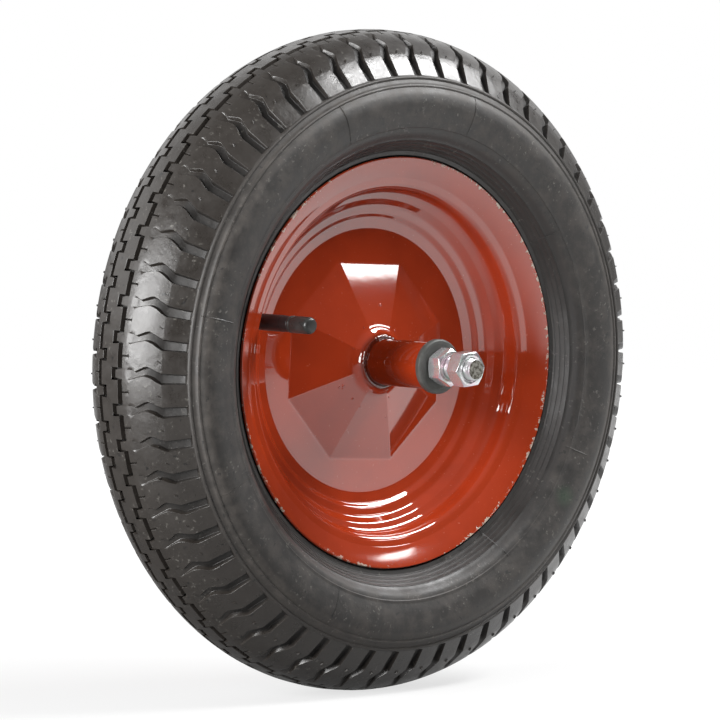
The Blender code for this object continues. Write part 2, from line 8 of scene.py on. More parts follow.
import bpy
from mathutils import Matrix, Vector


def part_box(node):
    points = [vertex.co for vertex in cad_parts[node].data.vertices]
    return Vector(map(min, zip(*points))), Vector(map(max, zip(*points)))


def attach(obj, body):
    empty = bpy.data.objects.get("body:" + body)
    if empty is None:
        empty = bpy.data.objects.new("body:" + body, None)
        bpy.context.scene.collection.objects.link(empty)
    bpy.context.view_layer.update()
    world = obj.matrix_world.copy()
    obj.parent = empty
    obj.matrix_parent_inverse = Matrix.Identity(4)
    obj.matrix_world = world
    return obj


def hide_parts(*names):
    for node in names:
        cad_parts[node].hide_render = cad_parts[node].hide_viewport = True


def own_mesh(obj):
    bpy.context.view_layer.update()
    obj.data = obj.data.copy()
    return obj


bl_info = {
    "name": "Wheelbarrow Wheel",
    "version": (1, 0, 0),
    "blender": (4, 5, 0),
    "location": "3D View > Sidebar > Wheel",
    "description": "Models a pneumatic wheelbarrow wheel piece by piece and sets it in a studio",
    "category": "Object",
}

import random
from collections import namedtuple
from math import atan2, cos, floor, hypot, pi, radians, sin, tan, tau

import bmesh
import bpy
from bpy.props import FloatProperty, FloatVectorProperty, IntProperty, PointerProperty
from bpy.types import Operator, Panel, PropertyGroup
from mathutils import Quaternion, Vector

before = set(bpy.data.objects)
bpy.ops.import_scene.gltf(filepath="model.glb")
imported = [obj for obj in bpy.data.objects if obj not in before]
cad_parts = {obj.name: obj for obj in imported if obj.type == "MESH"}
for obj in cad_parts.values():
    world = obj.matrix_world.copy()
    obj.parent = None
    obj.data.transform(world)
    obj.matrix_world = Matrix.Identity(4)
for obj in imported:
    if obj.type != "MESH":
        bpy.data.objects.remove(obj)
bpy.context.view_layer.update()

MM = 0.001
MERGE = 0.002 * MM
SIDES = (("front", -1.0), ("rear", 1.0))
TYRE_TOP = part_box("tyre")[1]
HUB_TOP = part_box("hub_tube")[1]
AXLE_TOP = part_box("axle")[1]
STEM_LOW, STEM_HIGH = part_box("valve_stem")
CAP_LOW, CAP_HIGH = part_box("valve_cap")
VALVE_X = (CAP_LOW.x + CAP_HIGH.x) / 2
VALVE_Z = (CAP_LOW.z + CAP_HIGH.z) / 2

# tread
SHOULDER_S = 29.5 * MM
SHOULDER_DROP = 13.0 * MM
CROWN_CURVE = 2.35
COLUMNS = 12                        # columns of the mesh in one pitch
CROSS_A = 0.025                     # middle of the groove's cross runs, as shares of a pitch
CROSS_B = 0.305
CROSS_SHARE = 0.4                   # width of a cross run over a long run's
BLOCK_END = 0.0                     # recess between two blocks, as shares of a pitch
BLOCK_START = 0.33
WALL_LEAN = 0.03
GROOVE_LONG_S = 8.4 * MM
GROOVE_SHORT_S = 3.8 * MM
GROOVE_LEAN = 0.3 * MM
SIPE_HALF_W = 0.45 * MM
SIPE_DEPTH = 2.2 * MM
FOOT_S, FOOT_R = 37.8 * MM, 163.7 * MM
FOOT_RECESS_S, FOOT_RECESS_R = 35.8 * MM, 163.1 * MM
WALL_S, WALL_R = 38.05 * MM, 163.35 * MM    # where the tread is joined to the sidewall
EDGE_WEAR = 0.3 * MM                # worn width along the edges of the blocks
NUB_INSET = 0.5 * MM
NUB_TAPER = 0.1 * MM
NUB_HEIGHT = 0.9 * MM

# sidewall
LINE_WIDTH = 0.3 * MM               # half width of the mould's fine lines
REAR_LINES_TURN = 0.7               # radians that the rear's lines are turned on from the front's

# rim
SHEET = 1.5 * MM
RING_S = 1.65 * MM
RING_R = 75.6 * MM
FLAT_R = 72.0 * MM                  # radius past which the flat ring is left round
OCTAGON_R = 60.7 * MM
OCTAGON_TURN = radians(18.8)
OCTAGON_SIDES = 8
DISC_RISE = 11.9 * MM
NECK_R = 17.0 * MM
FOOT_BEND = 0.9 * MM                # half width of the bend at the octagon's foot
NECK_FOOT = 20.5 * MM               # radius where the disc begins to curve up to the hub tube
NECK_LIFT = 1.3 * MM
RIM_STEPS = 192
FACET = tau / OCTAGON_SIDES
FACET_A = OCTAGON_R * cos(FACET / 2)
VALVE_HOLE_R = 5.0 * MM

# hub, axle and nuts
BORE_R = 10.0 * MM
BEAD_R = 1.5 * MM                   # half the thickness of the weld's bead
BEAD_OUT = 0.9 * MM                 # its middle outside the hub tube
BEAD_LIFT = 1.7 * MM                # its middle over the disc's neck
SPATTER = 16                        # drops of weld on the disc
THREAD_PITCH = 1.75 * MM
THREAD_DEPTH = 1.0 * MM
THREAD_START = 64.0 * MM
THREAD_ROWS = 10                    # mesh rows in one turn of thread
NUT_CHAMFER = radians(30.0)
NUT_TURN = {"inner": 0.0, "outer": radians(34.5)}

# valve
SLEEVE_R = 3.8 * MM
SLEEVE_PITCH = 0.8 * MM
SLEEVE_ROW = 0.12 * MM              # height of a mesh row along the sleeve's thread

# studio
KEY_PLACE = (1.112, -1.017, 0.71)   # the disc's upper facet mirrors this lamp
TOP_PLACE = (0.96, -0.57, 1.12)     # the rim's well and the top blocks mirror this one
SIDE_PLACE = (-1.64, -0.3, 0.38)    # the blocks at the left mirror this one
FLOOR_R = 2.35


# Settings


def metres(about, default, digits=4):
    return FloatProperty(description=about, default=default, unit="LENGTH", precision=digits)


def degrees(about, default):
    return FloatProperty(description=about, default=radians(default), subtype="ANGLE")


def rgb(about, *default):
    return FloatVectorProperty(description=about, default=default, subtype="COLOR", size=3)


def watts(about, default):
    return FloatProperty(description=about, default=default, unit="POWER")


class TyreSettings(PropertyGroup):
    crown_radius: metres("Axle to the tread's highest ring", round(TYRE_TOP.z, 4))
    half_width: metres("Mid-plane to the sidewall's widest ring", round(TYRE_TOP.y, 4))
    pitches: IntProperty(description="Tread blocks around each shoulder", default=58)
    tread_turn: degrees("Angle of the first block", -1.75)
    groove_half_width: metres("Half width of the castellated grooves", 1.55 * MM)
    groove_depth: metres("Depth of the castellated grooves", 4.2 * MM)
    rubber: rgb("Colour of clean tyre rubber", 0.0130, 0.0108, 0.0092)
    dust: rgb("Colour of the bloom and dust on the rubber", 0.072, 0.062, 0.054)


class RimSettings(PropertyGroup):
    half_width: metres("Mid-plane to the flange's edge", 30.0 * MM)
    flange_radius: metres("Axle to the flange's edge", 116.5 * MM)
    paint: rgb("Colour of the rim's paint", 0.46, 0.046, 0.011)
    chip: rgb("Colour of worn spots along the flange", 0.62, 0.50, 0.40)


class HubSettings(PropertyGroup):
    tube_radius: metres("Outside radius of the hub tube", round(HUB_TOP.z, 5))
    axle_radius: metres("Outside radius of the thread", 6.0 * MM)
    nut_flats: metres("Width of the nuts across their flats", 19.0 * MM)
    zinc: rgb("Colour of the plated nuts and axle", 0.78, 0.78, 0.79)
    cap: rgb("Colour of the dust caps", 0.070, 0.071, 0.066)


class StageSettings(PropertyGroup):
    azimuth: degrees("Camera's turn around the wheel", -41.5)
    elevation: degrees("Camera's height above the horizon", 4.4)
    distance: metres("Camera to the wheel's centre", 5.0, 2)
    lens: FloatProperty(description="Focal length on a 36 mm sensor", default=439.0, unit="CAMERA")
    floor: rgb("Colour of the floor", 0.24, 0.24, 0.24)
    key_power: watts("Power of the small softbox beside the camera", 2.6)
    top_power: watts("Power of the softbox over the wheel", 27.0)
    side_power: watts("Power of the softbox beside the tread", 42.0)


# Modelling steps


def start_clean():
    """Leave edit mode and select nothing."""
    if bpy.context.object and bpy.context.object.mode != "OBJECT":
        bpy.ops.object.mode_set(mode="OBJECT")
    bpy.ops.object.select_all(action="DESELECT")


def take(obj):
    """Select one object and make it active."""
    start_clean()
    obj.select_set(True)
    bpy.context.view_layer.objects.active = obj
    return obj


def named(name):
    obj = bpy.context.object
    obj.name = name
    obj.data.name = name
    return obj


def edit(obj):
    take(obj)
    bpy.ops.object.mode_set(mode="EDIT")
    bpy.ops.mesh.select_all(action="DESELECT")


def done():
    bpy.ops.object.mode_set(mode="OBJECT")


def drawn_line(name, points):
    """A wire through (radius, y) points, extruded point by point from a merged plane."""
    start_clean()
    bpy.ops.mesh.primitive_plane_add(size=MM)
    obj = named(name)
    bpy.ops.object.mode_set(mode="EDIT")
    bpy.ops.mesh.select_all(action="SELECT")
    bpy.ops.mesh.merge(type="CENTER")
    bpy.ops.transform.translate(value=(points[0][0], points[0][1], 0.0))
    for here, ahead in zip(points, points[1:]):
        step = (ahead[0] - here[0], ahead[1] - here[1], 0.0)
        bpy.ops.mesh.extrude_region_move(TRANSFORM_OT_translate={"value": step})
    return obj


def weld():
    """Merge doubles and turn the faces outwards, in edit mode."""
    bpy.ops.mesh.select_all(action="SELECT")
    bpy.ops.mesh.remove_doubles(threshold=MERGE)
    bpy.ops.mesh.normals_make_consistent(inside=False)


def lathe(name, points, steps, centre=(0.0, 0.0)):
    """Spin a line of (radius, y) points about Y and move it to its (x, z) centre."""
    obj = drawn_line(name, points)
    bpy.ops.mesh.select_all(action="SELECT")
    bpy.ops.mesh.spin(steps=steps, angle=tau, center=(0.0, 0.0, 0.0), axis=(0.0, 1.0, 0.0))
    weld()
    bpy.ops.transform.translate(value=(centre[0], 0.0, centre[1]))
    done()
    return obj


def rounded(corners, steps=4):
    """A line whose (a, b, radius) corners are turned into arcs."""
    line = []
    last = len(corners) - 1
    for index, (a, b, radius) in enumerate(corners):
        here = Vector((a, b))
        if radius == 0.0 or index in (0, last):
            line.append((a, b))
            continue
        back = Vector(corners[index - 1][:2]) - here
        ahead = Vector(corners[index + 1][:2]) - here
        half = back.angle(ahead) / 2
        reach = min(radius / tan(half), back.length * 0.48, ahead.length * 0.48)
        back.normalize()
        ahead.normalize()
        middle = here + (back + ahead).normalized() * (reach / cos(half))
        first = here + back * reach - middle
        final = here + ahead * reach - middle
        sweep = atan2(first.x * final.y - first.y * final.x, first.dot(final))
        for step in range(steps + 1):
            turn = sweep * step / steps
            x = first.x * cos(turn) - first.y * sin(turn)
            y = first.x * sin(turn) + first.y * cos(turn)
            line.append((middle.x + x, middle.y + y))
    return line


def closed(corners, steps=4):
    """The same for a closed outline, which ends on its first point."""
    line = rounded([corners[-1], *corners, corners[0]], steps)[1:-1]
    return line + [line[0]]


def flowing(points, steps=4):
    """A smooth curve that passes through every point, in short straight steps."""
    ends = [points[0], *points, points[-1]]
    line = []
    for p0, p1, p2, p3 in zip(ends, ends[1:], ends[2:], ends[3:]):
        for step in range(steps):
            t = step / steps
            line.append(tuple(
                0.5 * (2 * b + (c - a) * t + (2 * a - 5 * b + 4 * c - d) * t * t
                       + (3 * b - a - 3 * c + d) * t ** 3)
                for a, b, c, d in zip(p0, p1, p2, p3)
            ))
    line.append(points[-1])
    return line


def sided(points, side):
    """(radius, s) points as (radius, y) points of one side."""
    return [(radius, side * s) for radius, s in points]


def modified(obj, kind, **values):
    """Add a modifier, set its values and apply it."""
    take(obj)
    step = obj.modifiers.new(kind.lower(), kind)
    for key, value in values.items():
        setattr(step, key, value)
    bpy.ops.object.modifier_apply(modifier=step.name)


def combined(obj, other, operation):
    """Cut, intersect or unite with another object, which is then removed."""
    modified(obj, "BOOLEAN", operation=operation, solver="EXACT", object=other)
    bpy.data.objects.remove(other, do_unlink=True)


def joined(obj, *others):
    take(obj)
    for other in others:
        other.select_set(True)
    bpy.ops.object.join()
    return obj


def twin(obj, name):
    """A copy with its own mesh."""
    take(obj)
    bpy.ops.object.duplicate(linked=False)
    return named(name)


def moved(obj, offset):
    edit(obj)
    bpy.ops.mesh.select_all(action="SELECT")
    bpy.ops.transform.translate(value=offset)
    done()
    return obj


def settle(obj, body, finish, nodes=(), angle=30.0):
    """Shade a finished piece, give it its finish and let it ride on its body."""
    take(obj)
    bpy.ops.object.shade_smooth_by_angle(angle=radians(angle))
    obj.data.materials.clear()
    obj.data.materials.append(finish)
    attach(obj, body)
    if nodes:
        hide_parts(*nodes)
    return obj


def wire_tube(name, points, radius, sides=2):
    """A round wire through points, as a closed mesh."""
    start_clean()
    curve = bpy.data.curves.new(name, "CURVE")
    curve.dimensions = "3D"
    curve.bevel_depth = radius
    curve.bevel_resolution = sides
    curve.use_fill_caps = True
    spline = curve.splines.new("POLY")
    spline.points.add(len(points) - 1)
    for point, place in zip(spline.points, points):
        point.co = (*place, 1.0)
    obj = bpy.data.objects.new(name, curve)
    bpy.context.scene.collection.objects.link(obj)
    take(obj)
    bpy.ops.object.convert(target="MESH")
    obj = named(name)
    edit(obj)
    weld()
    done()
    return obj


# Finishes


class Nodes:
    """A node tree that grows by small steps."""

    def __init__(self, tree):
        self.tree = tree
        self.coordinates = self.node("ShaderNodeTexCoord").outputs

    def node(self, kind, **values):
        made = self.tree.nodes.new(kind)
        for key, value in values.items():
            setattr(made, key, value)
        return made

    def feed(self, socket, value):
        if isinstance(value, bpy.types.NodeSocket):
            self.tree.links.new(value, socket)
        elif value is not None:
            socket.default_value = value

    def math(self, operation, *values):
        made = self.node("ShaderNodeMath", operation=operation)
        for socket, value in zip(made.inputs, values):
            self.feed(socket, value)
        return made.outputs[0]

    def times(self, first, second):
        return self.math("MULTIPLY", first, second)

    def plus(self, first, second):
        return self.math("ADD", first, second)

    def between(self, value, low, high, start=0.0, end=1.0, kind="SMOOTHSTEP"):
        """start where value is low or less, end where it is high or more, a ramp between."""
        made = self.node("ShaderNodeMapRange", interpolation_type=kind)
        self.feed(made.inputs["Value"], value)
        for key, number in (("From Min", low), ("From Max", high), ("To Min", start), ("To Max", end)):
            made.inputs[key].default_value = number
        return made.outputs["Result"]

    def split(self, place):
        """x, y and z of a place."""
        made = self.node("ShaderNodeSeparateXYZ")
        self.feed(made.inputs[0], place)
        return made.outputs


class Finish(Nodes):
    """A material and the steps that most finishes share."""

    def __init__(self, name):
        self.material = bpy.data.materials.new(name)
        self.material.use_nodes = True
        super().__init__(self.material.node_tree)
        self.shader = self.tree.nodes["Principled BSDF"]
        self.place = self.coordinates["Object"]

    def set(self, **values):
        """Set the shader's own sockets, such as coat_weight for Coat Weight."""
        for key, value in values.items():
            socket = next(s for s in self.shader.inputs if s.name.lower().replace(" ", "_") == key)
            if isinstance(value, tuple) and len(value) == 3:
                value = (*value, 1.0)
            self.feed(socket, value)

    def noise(self, scale, detail=4.0, roughness=0.55):
        made = self.node("ShaderNodeTexNoise")
        self.feed(made.inputs["Vector"], self.place)
        made.inputs["Scale"].default_value = scale
        made.inputs["Detail"].default_value = detail
        made.inputs["Roughness"].default_value = roughness
        return made.outputs["Fac"]

    def mix(self, share, first, second):
        made = self.node("ShaderNodeMix", data_type="RGBA")
        self.feed(made.inputs["Factor"], share)
        for key, colour in (("A", first), ("B", second)):
            socket = [s for s in made.inputs if s.name == key and s.type == "RGBA"][0]
            if isinstance(colour, tuple):
                colour = (*colour, 1.0)
            self.feed(socket, colour)
        return [s for s in made.outputs if s.type == "RGBA"][0]

    def bump(self, height, distance, strength=1.0, normal=None):
        made = self.node("ShaderNodeBump")
        self.feed(made.inputs["Height"], height)
        made.inputs["Distance"].default_value = distance
        made.inputs["Strength"].default_value = strength
        self.feed(made.inputs["Normal"], normal)
        return made.outputs["Normal"]

    def axes(self):
        """x, y and z of the place, radius from the axle, and distance from the mid-plane."""
        x, y, z = self.split(self.place)
        squares = self.plus(self.times(x, x), self.times(z, z))
        return x, y, z, self.math("SQRT", squares), self.math("ABSOLUTE", y)

    def near(self, place, reach):
        """1 at a place, 0 further away than reach."""
        made = self.node("ShaderNodeVectorMath", operation="DISTANCE")
        self.feed(made.inputs[0], self.place)
        made.inputs[1].default_value = place
        return self.between(made.outputs["Value"], 0.0, reach, 1.0, 0.0)


def tread_rubber(tyre):
    """Dusty sidewalls, rubbed block tops and flanks darkened as painted shade, with grit, pits and one
    green smear.
    """
    finish = Finish("tread_rubber")
    _, _, _, radius, s = finish.axes()
    cloud = finish.noise(45.0, 6.0, 0.6)
    fine = finish.noise(420.0, 5.0, 0.65)
    film = finish.noise(95.0, 8.0, 0.7)

    fall = finish.math("POWER", finish.math("DIVIDE", s, SHOULDER_S), CROWN_CURVE)
    crown = finish.math("SUBTRACT", tyre.crown_radius, finish.times(fall, SHOULDER_DROP))
    block_top = finish.between(finish.math("SUBTRACT", radius, crown), -3.4 * MM, -2.6 * MM)
    off_tread = finish.between(s, 37.5 * MM, 38.5 * MM)
    flank = finish.times(off_tread, finish.between(radius, 163.6 * MM, 165 * MM))

    wall = finish.between(s, 38 * MM, 41 * MM, 0.12, 0.68)
    dust = finish.times(finish.between(film, 0.38, 0.70), wall)
    dust = finish.plus(dust, finish.times(block_top, 0.30))
    colour = finish.mix(dust, tuple(tyre.rubber), tuple(tyre.dust))
    grit = finish.times(finish.between(fine, 0.58, 0.68), finish.between(cloud, 0.44, 0.6))
    colour = finish.mix(finish.times(grit, 0.6), colour, (0.20, 0.19, 0.17))
    pits = finish.between(finish.noise(240.0, 3.0, 0.6), 0.29, 0.35, 1.0, 0.0)
    colour = finish.mix(finish.times(pits, 0.8), colour, (0.004, 0.004, 0.004))
    smear = finish.near((0.1165, -0.0435, -0.082), 9 * MM)
    colour = finish.mix(finish.times(smear, 0.35), colour, (0.02, 0.075, 0.03))
    # painted shade: the tread's flanks darkened below the colour of clean rubber
    colour = finish.mix(finish.times(flank, 0.85), colour, (0.004, 0.0032, 0.0028))

    rough = finish.mix(block_top, (0.50, 0.50, 0.50), (0.32, 0.32, 0.32))
    rough = finish.mix(off_tread, rough, (0.58, 0.58, 0.58))
    rough = finish.plus(rough, finish.times(finish.math("SUBTRACT", film, 0.5), 0.5))
    shine = finish.between(flank, 0.0, 1.0, 0.85, 0.5)
    normal = finish.bump(finish.noise(1500.0, 3.0), 0.02 * MM, 0.4)
    normal = finish.bump(fine, 0.18 * MM, 0.55, normal)
    normal = finish.bump(finish.noise(90.0, 3.0), 0.5 * MM, 0.55, normal)
    finish.set(base_color=colour, roughness=rough, normal=normal, specular_ior_level=shine)
    return finish.material


def rim_paint(rim):
    """Glossy paint, chipped along the flange, with painted shade that darkens the hub tube, its welds and
    the disc round its foot.
    """
    finish = Finish("rim_paint")
    _, _, _, radius, s = finish.axes()
    paint = tuple(rim.paint)
    deep = tuple(channel * 0.85 for channel in paint)
    cloud = finish.noise(26.0, 4.0, 0.55)
    colour = finish.mix(finish.between(cloud, 0.35, 0.70), paint, deep)
    # painted shade: the hub tube, its welds and the disc round its foot darkened, fully deep in the hollow
    # and less towards the tube's end
    hub_shade = finish.times(
        finish.between(radius, 14.5 * MM, 17.5 * MM, 0.95, 0.0),
        finish.between(s, 34 * MM, 60 * MM, 1.0, 0.35),
    )
    colour = finish.mix(hub_shade, colour, tuple(channel * 0.16 for channel in paint))
    specks = finish.between(finish.noise(700.0, 2.0), 0.70, 0.76)
    colour = finish.mix(finish.times(specks, 0.35), colour, (0.75, 0.30, 0.20))

    edge = finish.between(radius, rim.flange_radius - 2.6 * MM, rim.flange_radius - 0.3 * MM)
    ragged = finish.noise(330.0, 5.0, 0.7)
    stretch = finish.times(finish.between(finish.noise(11.0, 2.0), 0.38, 0.52), 0.14)
    wear = finish.plus(ragged, finish.times(edge, stretch))
    chips = finish.times(finish.between(wear, 0.64, 0.68), finish.between(edge, 0.05, 0.4))
    colour = finish.mix(chips, colour, tuple(rim.chip))
    rough = finish.mix(chips, (0.35, 0.35, 0.35), (0.6, 0.6, 0.6))
    orange_peel = finish.bump(finish.noise(210.0, 2.0, 0.4), 0.10 * MM, 0.035)
    normal = finish.bump(finish.math("SUBTRACT", 1.0, chips), 0.12 * MM, 0.7, orange_peel)
    coat_rough = finish.between(radius, 104 * MM, 112 * MM, 0.035, 0.13)
    finish.set(base_color=colour, roughness=rough, normal=normal, specular_ior_level=0.0)
    finish.set(coat_weight=1.0, coat_roughness=coat_rough, coat_ior=1.95, coat_normal=normal)
    return finish.material


def plated(name, colour, roughness, end=None):
    """Bright plated steel with faint tints, and a rough sawn end where asked."""
    finish = Finish(name)
    _, _, _, _, s = finish.axes()
    tint = finish.noise(160.0, 2.0)
    base = finish.mix(finish.between(tint, 0.35, 0.5), (0.80, 0.68, 0.74), colour)
    base = finish.mix(finish.between(tint, 0.55, 0.7), base, (0.66, 0.76, 0.70))
    scratch = finish.noise(320.0, 3.0, 0.6)
    rough = finish.between(scratch, 0.35, 0.75, roughness, roughness + 0.12)
    normal = finish.bump(scratch, 0.02 * MM, 0.15)
    if end:
        sawn = finish.between(s, end - 0.25 * MM, end - 0.1 * MM)
        dirt = finish.between(finish.noise(520.0, 3.0, 0.6), 0.42, 0.6)
        base = finish.mix(sawn, base, finish.mix(dirt, (0.36, 0.35, 0.31), (0.10, 0.09, 0.07)))
        marks = finish.times(finish.noise(420.0, 3.0), sawn)
        normal = finish.bump(marks, 0.5 * MM, 0.9, normal)
        rough = finish.plus(rough, finish.times(sawn, 0.15))
    finish.set(base_color=base, roughness=rough, metallic=0.75, normal=normal)
    return finish.material


def moulded(name, colour, roughness, grain=600.0, depth=0.05 * MM):
    """Moulded plastic or rubber with a fine grain and slightly uneven colour."""
    finish = Finish(name)
    cloud = finish.noise(120.0, 4.0)
    lighter = tuple(channel * 1.5 + 0.004 for channel in colour)
    base = finish.mix(finish.between(cloud, 0.45, 0.75), colour, lighter)
    rough = finish.between(cloud, 0.3, 0.7, roughness - 0.05, roughness + 0.08)
    normal = finish.bump(finish.noise(grain, 3.0), depth, 0.5)
    finish.set(base_color=base, roughness=rough, normal=normal)
    return finish.material


def turned_metal(name, colour, roughness):
    """Turned or ground metal with fine rings along the axle."""
    finish = Finish(name)
    _, y, _, _, _ = finish.axes()
    rings = finish.node("ShaderNodeTexWave", wave_type="BANDS", bands_direction="Y")
    finish.feed(rings.inputs["Vector"], finish.place)
    rings.inputs["Scale"].default_value = 900.0
    rings.inputs["Distortion"].default_value = 1.5
    cloud = finish.noise(200.0, 3.0)
    base = finish.mix(finish.between(cloud, 0.4, 0.7), colour, tuple(c * 0.82 for c in colour))
    rough = finish.between(cloud, 0.3, 0.7, roughness, roughness + 0.12)
    normal = finish.bump(rings.outputs["Fac"], 0.01 * MM, 0.4)
    finish.set(base_color=base, roughness=rough, metallic=1.0, normal=normal)
    return finish.material


# Tyre

TreadRow = namedtuple("TreadRow", "block recess bend_a bend_b castle sipe")


def tread_surface(tyre, s):
    return tyre.crown_radius - SHOULDER_DROP * (abs(s) / SHOULDER_S) ** CROWN_CURVE


def tread_rows(tyre):
    """Rows across half the tread, from beside the mid-plane to the flank's foot."""
    rows = []

    def on_tread(s, depth=0.0):
        return s, tread_surface(tyre, s) - depth

    half, deep = tyre.groove_half_width, tyre.groove_depth
    for out, depth, sipe in (
        (-half, 0.0, 0.0), (GROOVE_LEAN - half, deep, 0.0), (half - GROOVE_LEAN, deep, 0.0),
        (half, 0.0, SIPE_DEPTH),
    ):
        long_run, short_run = on_tread(GROOVE_LONG_S + out, depth), on_tread(GROOVE_SHORT_S + out, depth)
        rows.append(TreadRow(long_run, short_run, 0.0, 0.0, out, sipe))
    for block_s, recess_s, depth, bend_a, bend_b, sipe in (
        (11.5, 8.3, 0.0, 0.0, 0.0, SIPE_DEPTH),
        (13.4, 11.8, 0.0, 0.0, 0.0, SIPE_DEPTH),
        (14.0, 13.2, 0.0, 0.0, 0.0, 0.0),
        (14.6, 15.2, 1.2, 0.3, -0.2, 0.0),
        (17.5, 17.4, 1.8, 1.6, -1.1, 0.0),
        (20.0, 19.8, 2.4, 0.3, -1.9, 0.0),
        (22.0, 21.7, 2.9, -0.9, -2.4, 0.0),
        (23.5, 23.1, 3.3, -1.3, -2.0, 0.0),
        (25.5, 24.8, 3.9, -0.3, -0.9, 0.0),
        (27.5, 26.0, 4.5, 1.1, 0.9, 0.0),
        (29.5, 26.9, 5.3, 2.3, 2.3, 0.0),
    ):
        block, recess = on_tread(block_s * MM), on_tread(recess_s * MM, depth * MM)
        rows.append(TreadRow(block, recess, bend_a * MM, bend_b * MM, None, sipe))
    edge = (29.9 * MM, tread_surface(tyre, SHOULDER_S) - 0.4 * MM)
    sunk = (27.9 * MM, rows[-1].recess[1] - 1.4 * MM)
    for share in (0.0, 0.35, 0.7, 1.0):
        block = tuple(a + (b - a) * share for a, b in zip(edge, (FOOT_S, FOOT_R)))
        recess = tuple(a + (b - a) * share for a, b in zip(sunk, (FOOT_RECESS_S, FOOT_RECESS_R)))
        rows.append(TreadRow(block, recess, (2.4 + 0.5 * share) * MM, 2.4 * MM, None, 0.0))
    return rows


def row_column(tyre, row, column):
    """(s, radius, share of a pitch) of one column of a row."""
    radius = row.block[1]
    length = tau * radius / tyre.pitches
    if row.castle is None:
        edges = (BLOCK_END, BLOCK_END + WALL_LEAN, 0.0, BLOCK_START - WALL_LEAN, BLOCK_START)
        first, last = row.bend_a / length, row.bend_b / length
    else:
        out = row.castle * CROSS_SHARE / length
        edges = (CROSS_A + out, CROSS_A + out, 0.0, CROSS_B - out, CROSS_B - out)
        first = last = 0.0
    start, end = edges[4] + last, 1.0 + edges[0] + first
    if column == 0:
        return (*row.block, edges[0] + first)
    if column in (1, 3):
        return (*row.recess, edges[column] + (first if column == 1 else last))
    if column == 2:
        return (*row.recess, (edges[1] + first + edges[3] + last) / 2)
    share = start + (end - start) * (column - 4) / (COLUMNS - 4)
    s, radius = row.block
    middle = (start + end) / 2
    if row.sipe and column in (7, 9):
        share = middle + (column - 8) * SIPE_HALF_W / length
    if row.sipe and column == 8:
        radius -= row.sipe
    return s, radius, share


def tread_point(tyre, rows, level, column):
    """Place of a vertex. Levels run from the front foot (negative) to the rear foot."""
    pitch = tau / tyre.pitches
    if level == 0:
        s, radius, share = 0.0, tyre.crown_radius, column / COLUMNS
    elif abs(level) > len(rows):
        s, radius, share = WALL_S, WALL_R, column / COLUMNS
    else:
        shift = COLUMNS // 2 if level > 0 else 0
        turn, place = divmod(column - shift, COLUMNS)
        s, radius, share = row_column(tyre, rows[abs(level) - 1], place)
        share += turn + shift / COLUMNS
    angle = share * pitch + tyre.tread_turn
    return Vector((radius * cos(angle), s if level > 0 else -s, radius * sin(angle)))


def tread_band(tyre):
    """One pitch on a grid, its vent nubs inset and raised, then repeated around the axle."""
    rows = tread_rows(tyre)
    levels = len(rows) + 1
    start_clean()
    bpy.ops.mesh.primitive_grid_add(x_subdivisions=COLUMNS, y_subdivisions=2 * levels, size=1.0)
    band = named("tread_band")
    across = sorted({round(v.co.x, 5) for v in band.data.vertices})
    along = sorted({round(v.co.y, 5) for v in band.data.vertices})
    if len(across) != COLUMNS + 1 or len(along) != 2 * levels + 1:
        raise RuntimeError("the tread grid has an unexpected number of rows")
    column_of = {place: index for index, place in enumerate(across)}
    level_of = {place: index - levels for index, place in enumerate(along)}
    for vertex in band.data.vertices:
        column, level = column_of[round(vertex.co.x, 5)], level_of[round(vertex.co.y, 5)]
        vertex.co = tread_point(tyre, rows, level, column)
    edit(band)
    bpy.ops.mesh.select_mode(type="FACE")
    mesh = bmesh.from_edit_mesh(band.data)
    mesh.normal_update()
    crown = min(mesh.faces, key=lambda face: abs(face.calc_center_median().y))
    outwards = crown.calc_center_median().dot(crown.normal) > 0.0
    if not outwards:
        bpy.ops.mesh.select_all(action="SELECT")
        bpy.ops.mesh.flip_normals()
        bpy.ops.mesh.select_all(action="DESELECT")
        mesh = bmesh.from_edit_mesh(band.data)
    nub_level = len(rows) - 5
    for side in (-1, 1):
        corners = [
            tread_point(tyre, rows, side * level, column)
            for level in (nub_level, nub_level + 1)
            for column in ((8, 9) if side < 0 else (2, 3))
        ]
        middle = sum(corners, Vector()) / 4
        chosen = min(mesh.faces, key=lambda face: (face.calc_center_median() - middle).length)
        chosen.select_set(True)
    bmesh.update_edit_mesh(band.data)
    bpy.ops.mesh.inset(thickness=NUB_INSET, depth=0.0)
    bpy.ops.mesh.inset(thickness=NUB_TAPER, depth=NUB_HEIGHT)
    bpy.ops.mesh.select_mode(type="VERT")
    bpy.ops.mesh.select_all(action="SELECT")
    copies = tyre.pitches - 1
    bpy.ops.mesh.spin(
        steps=copies, angle=tau * copies / tyre.pitches, dupli=True,
        center=(0.0, 0.0, 0.0), axis=(0.0, 1.0, 0.0),
    )
    bpy.ops.mesh.select_all(action="SELECT")
    bpy.ops.mesh.remove_doubles(threshold=0.02 * MM)
    done()
    modified(band, "BEVEL", width=EDGE_WEAR, segments=1, limit_method="ANGLE", angle_limit=radians(38.0))
    return band


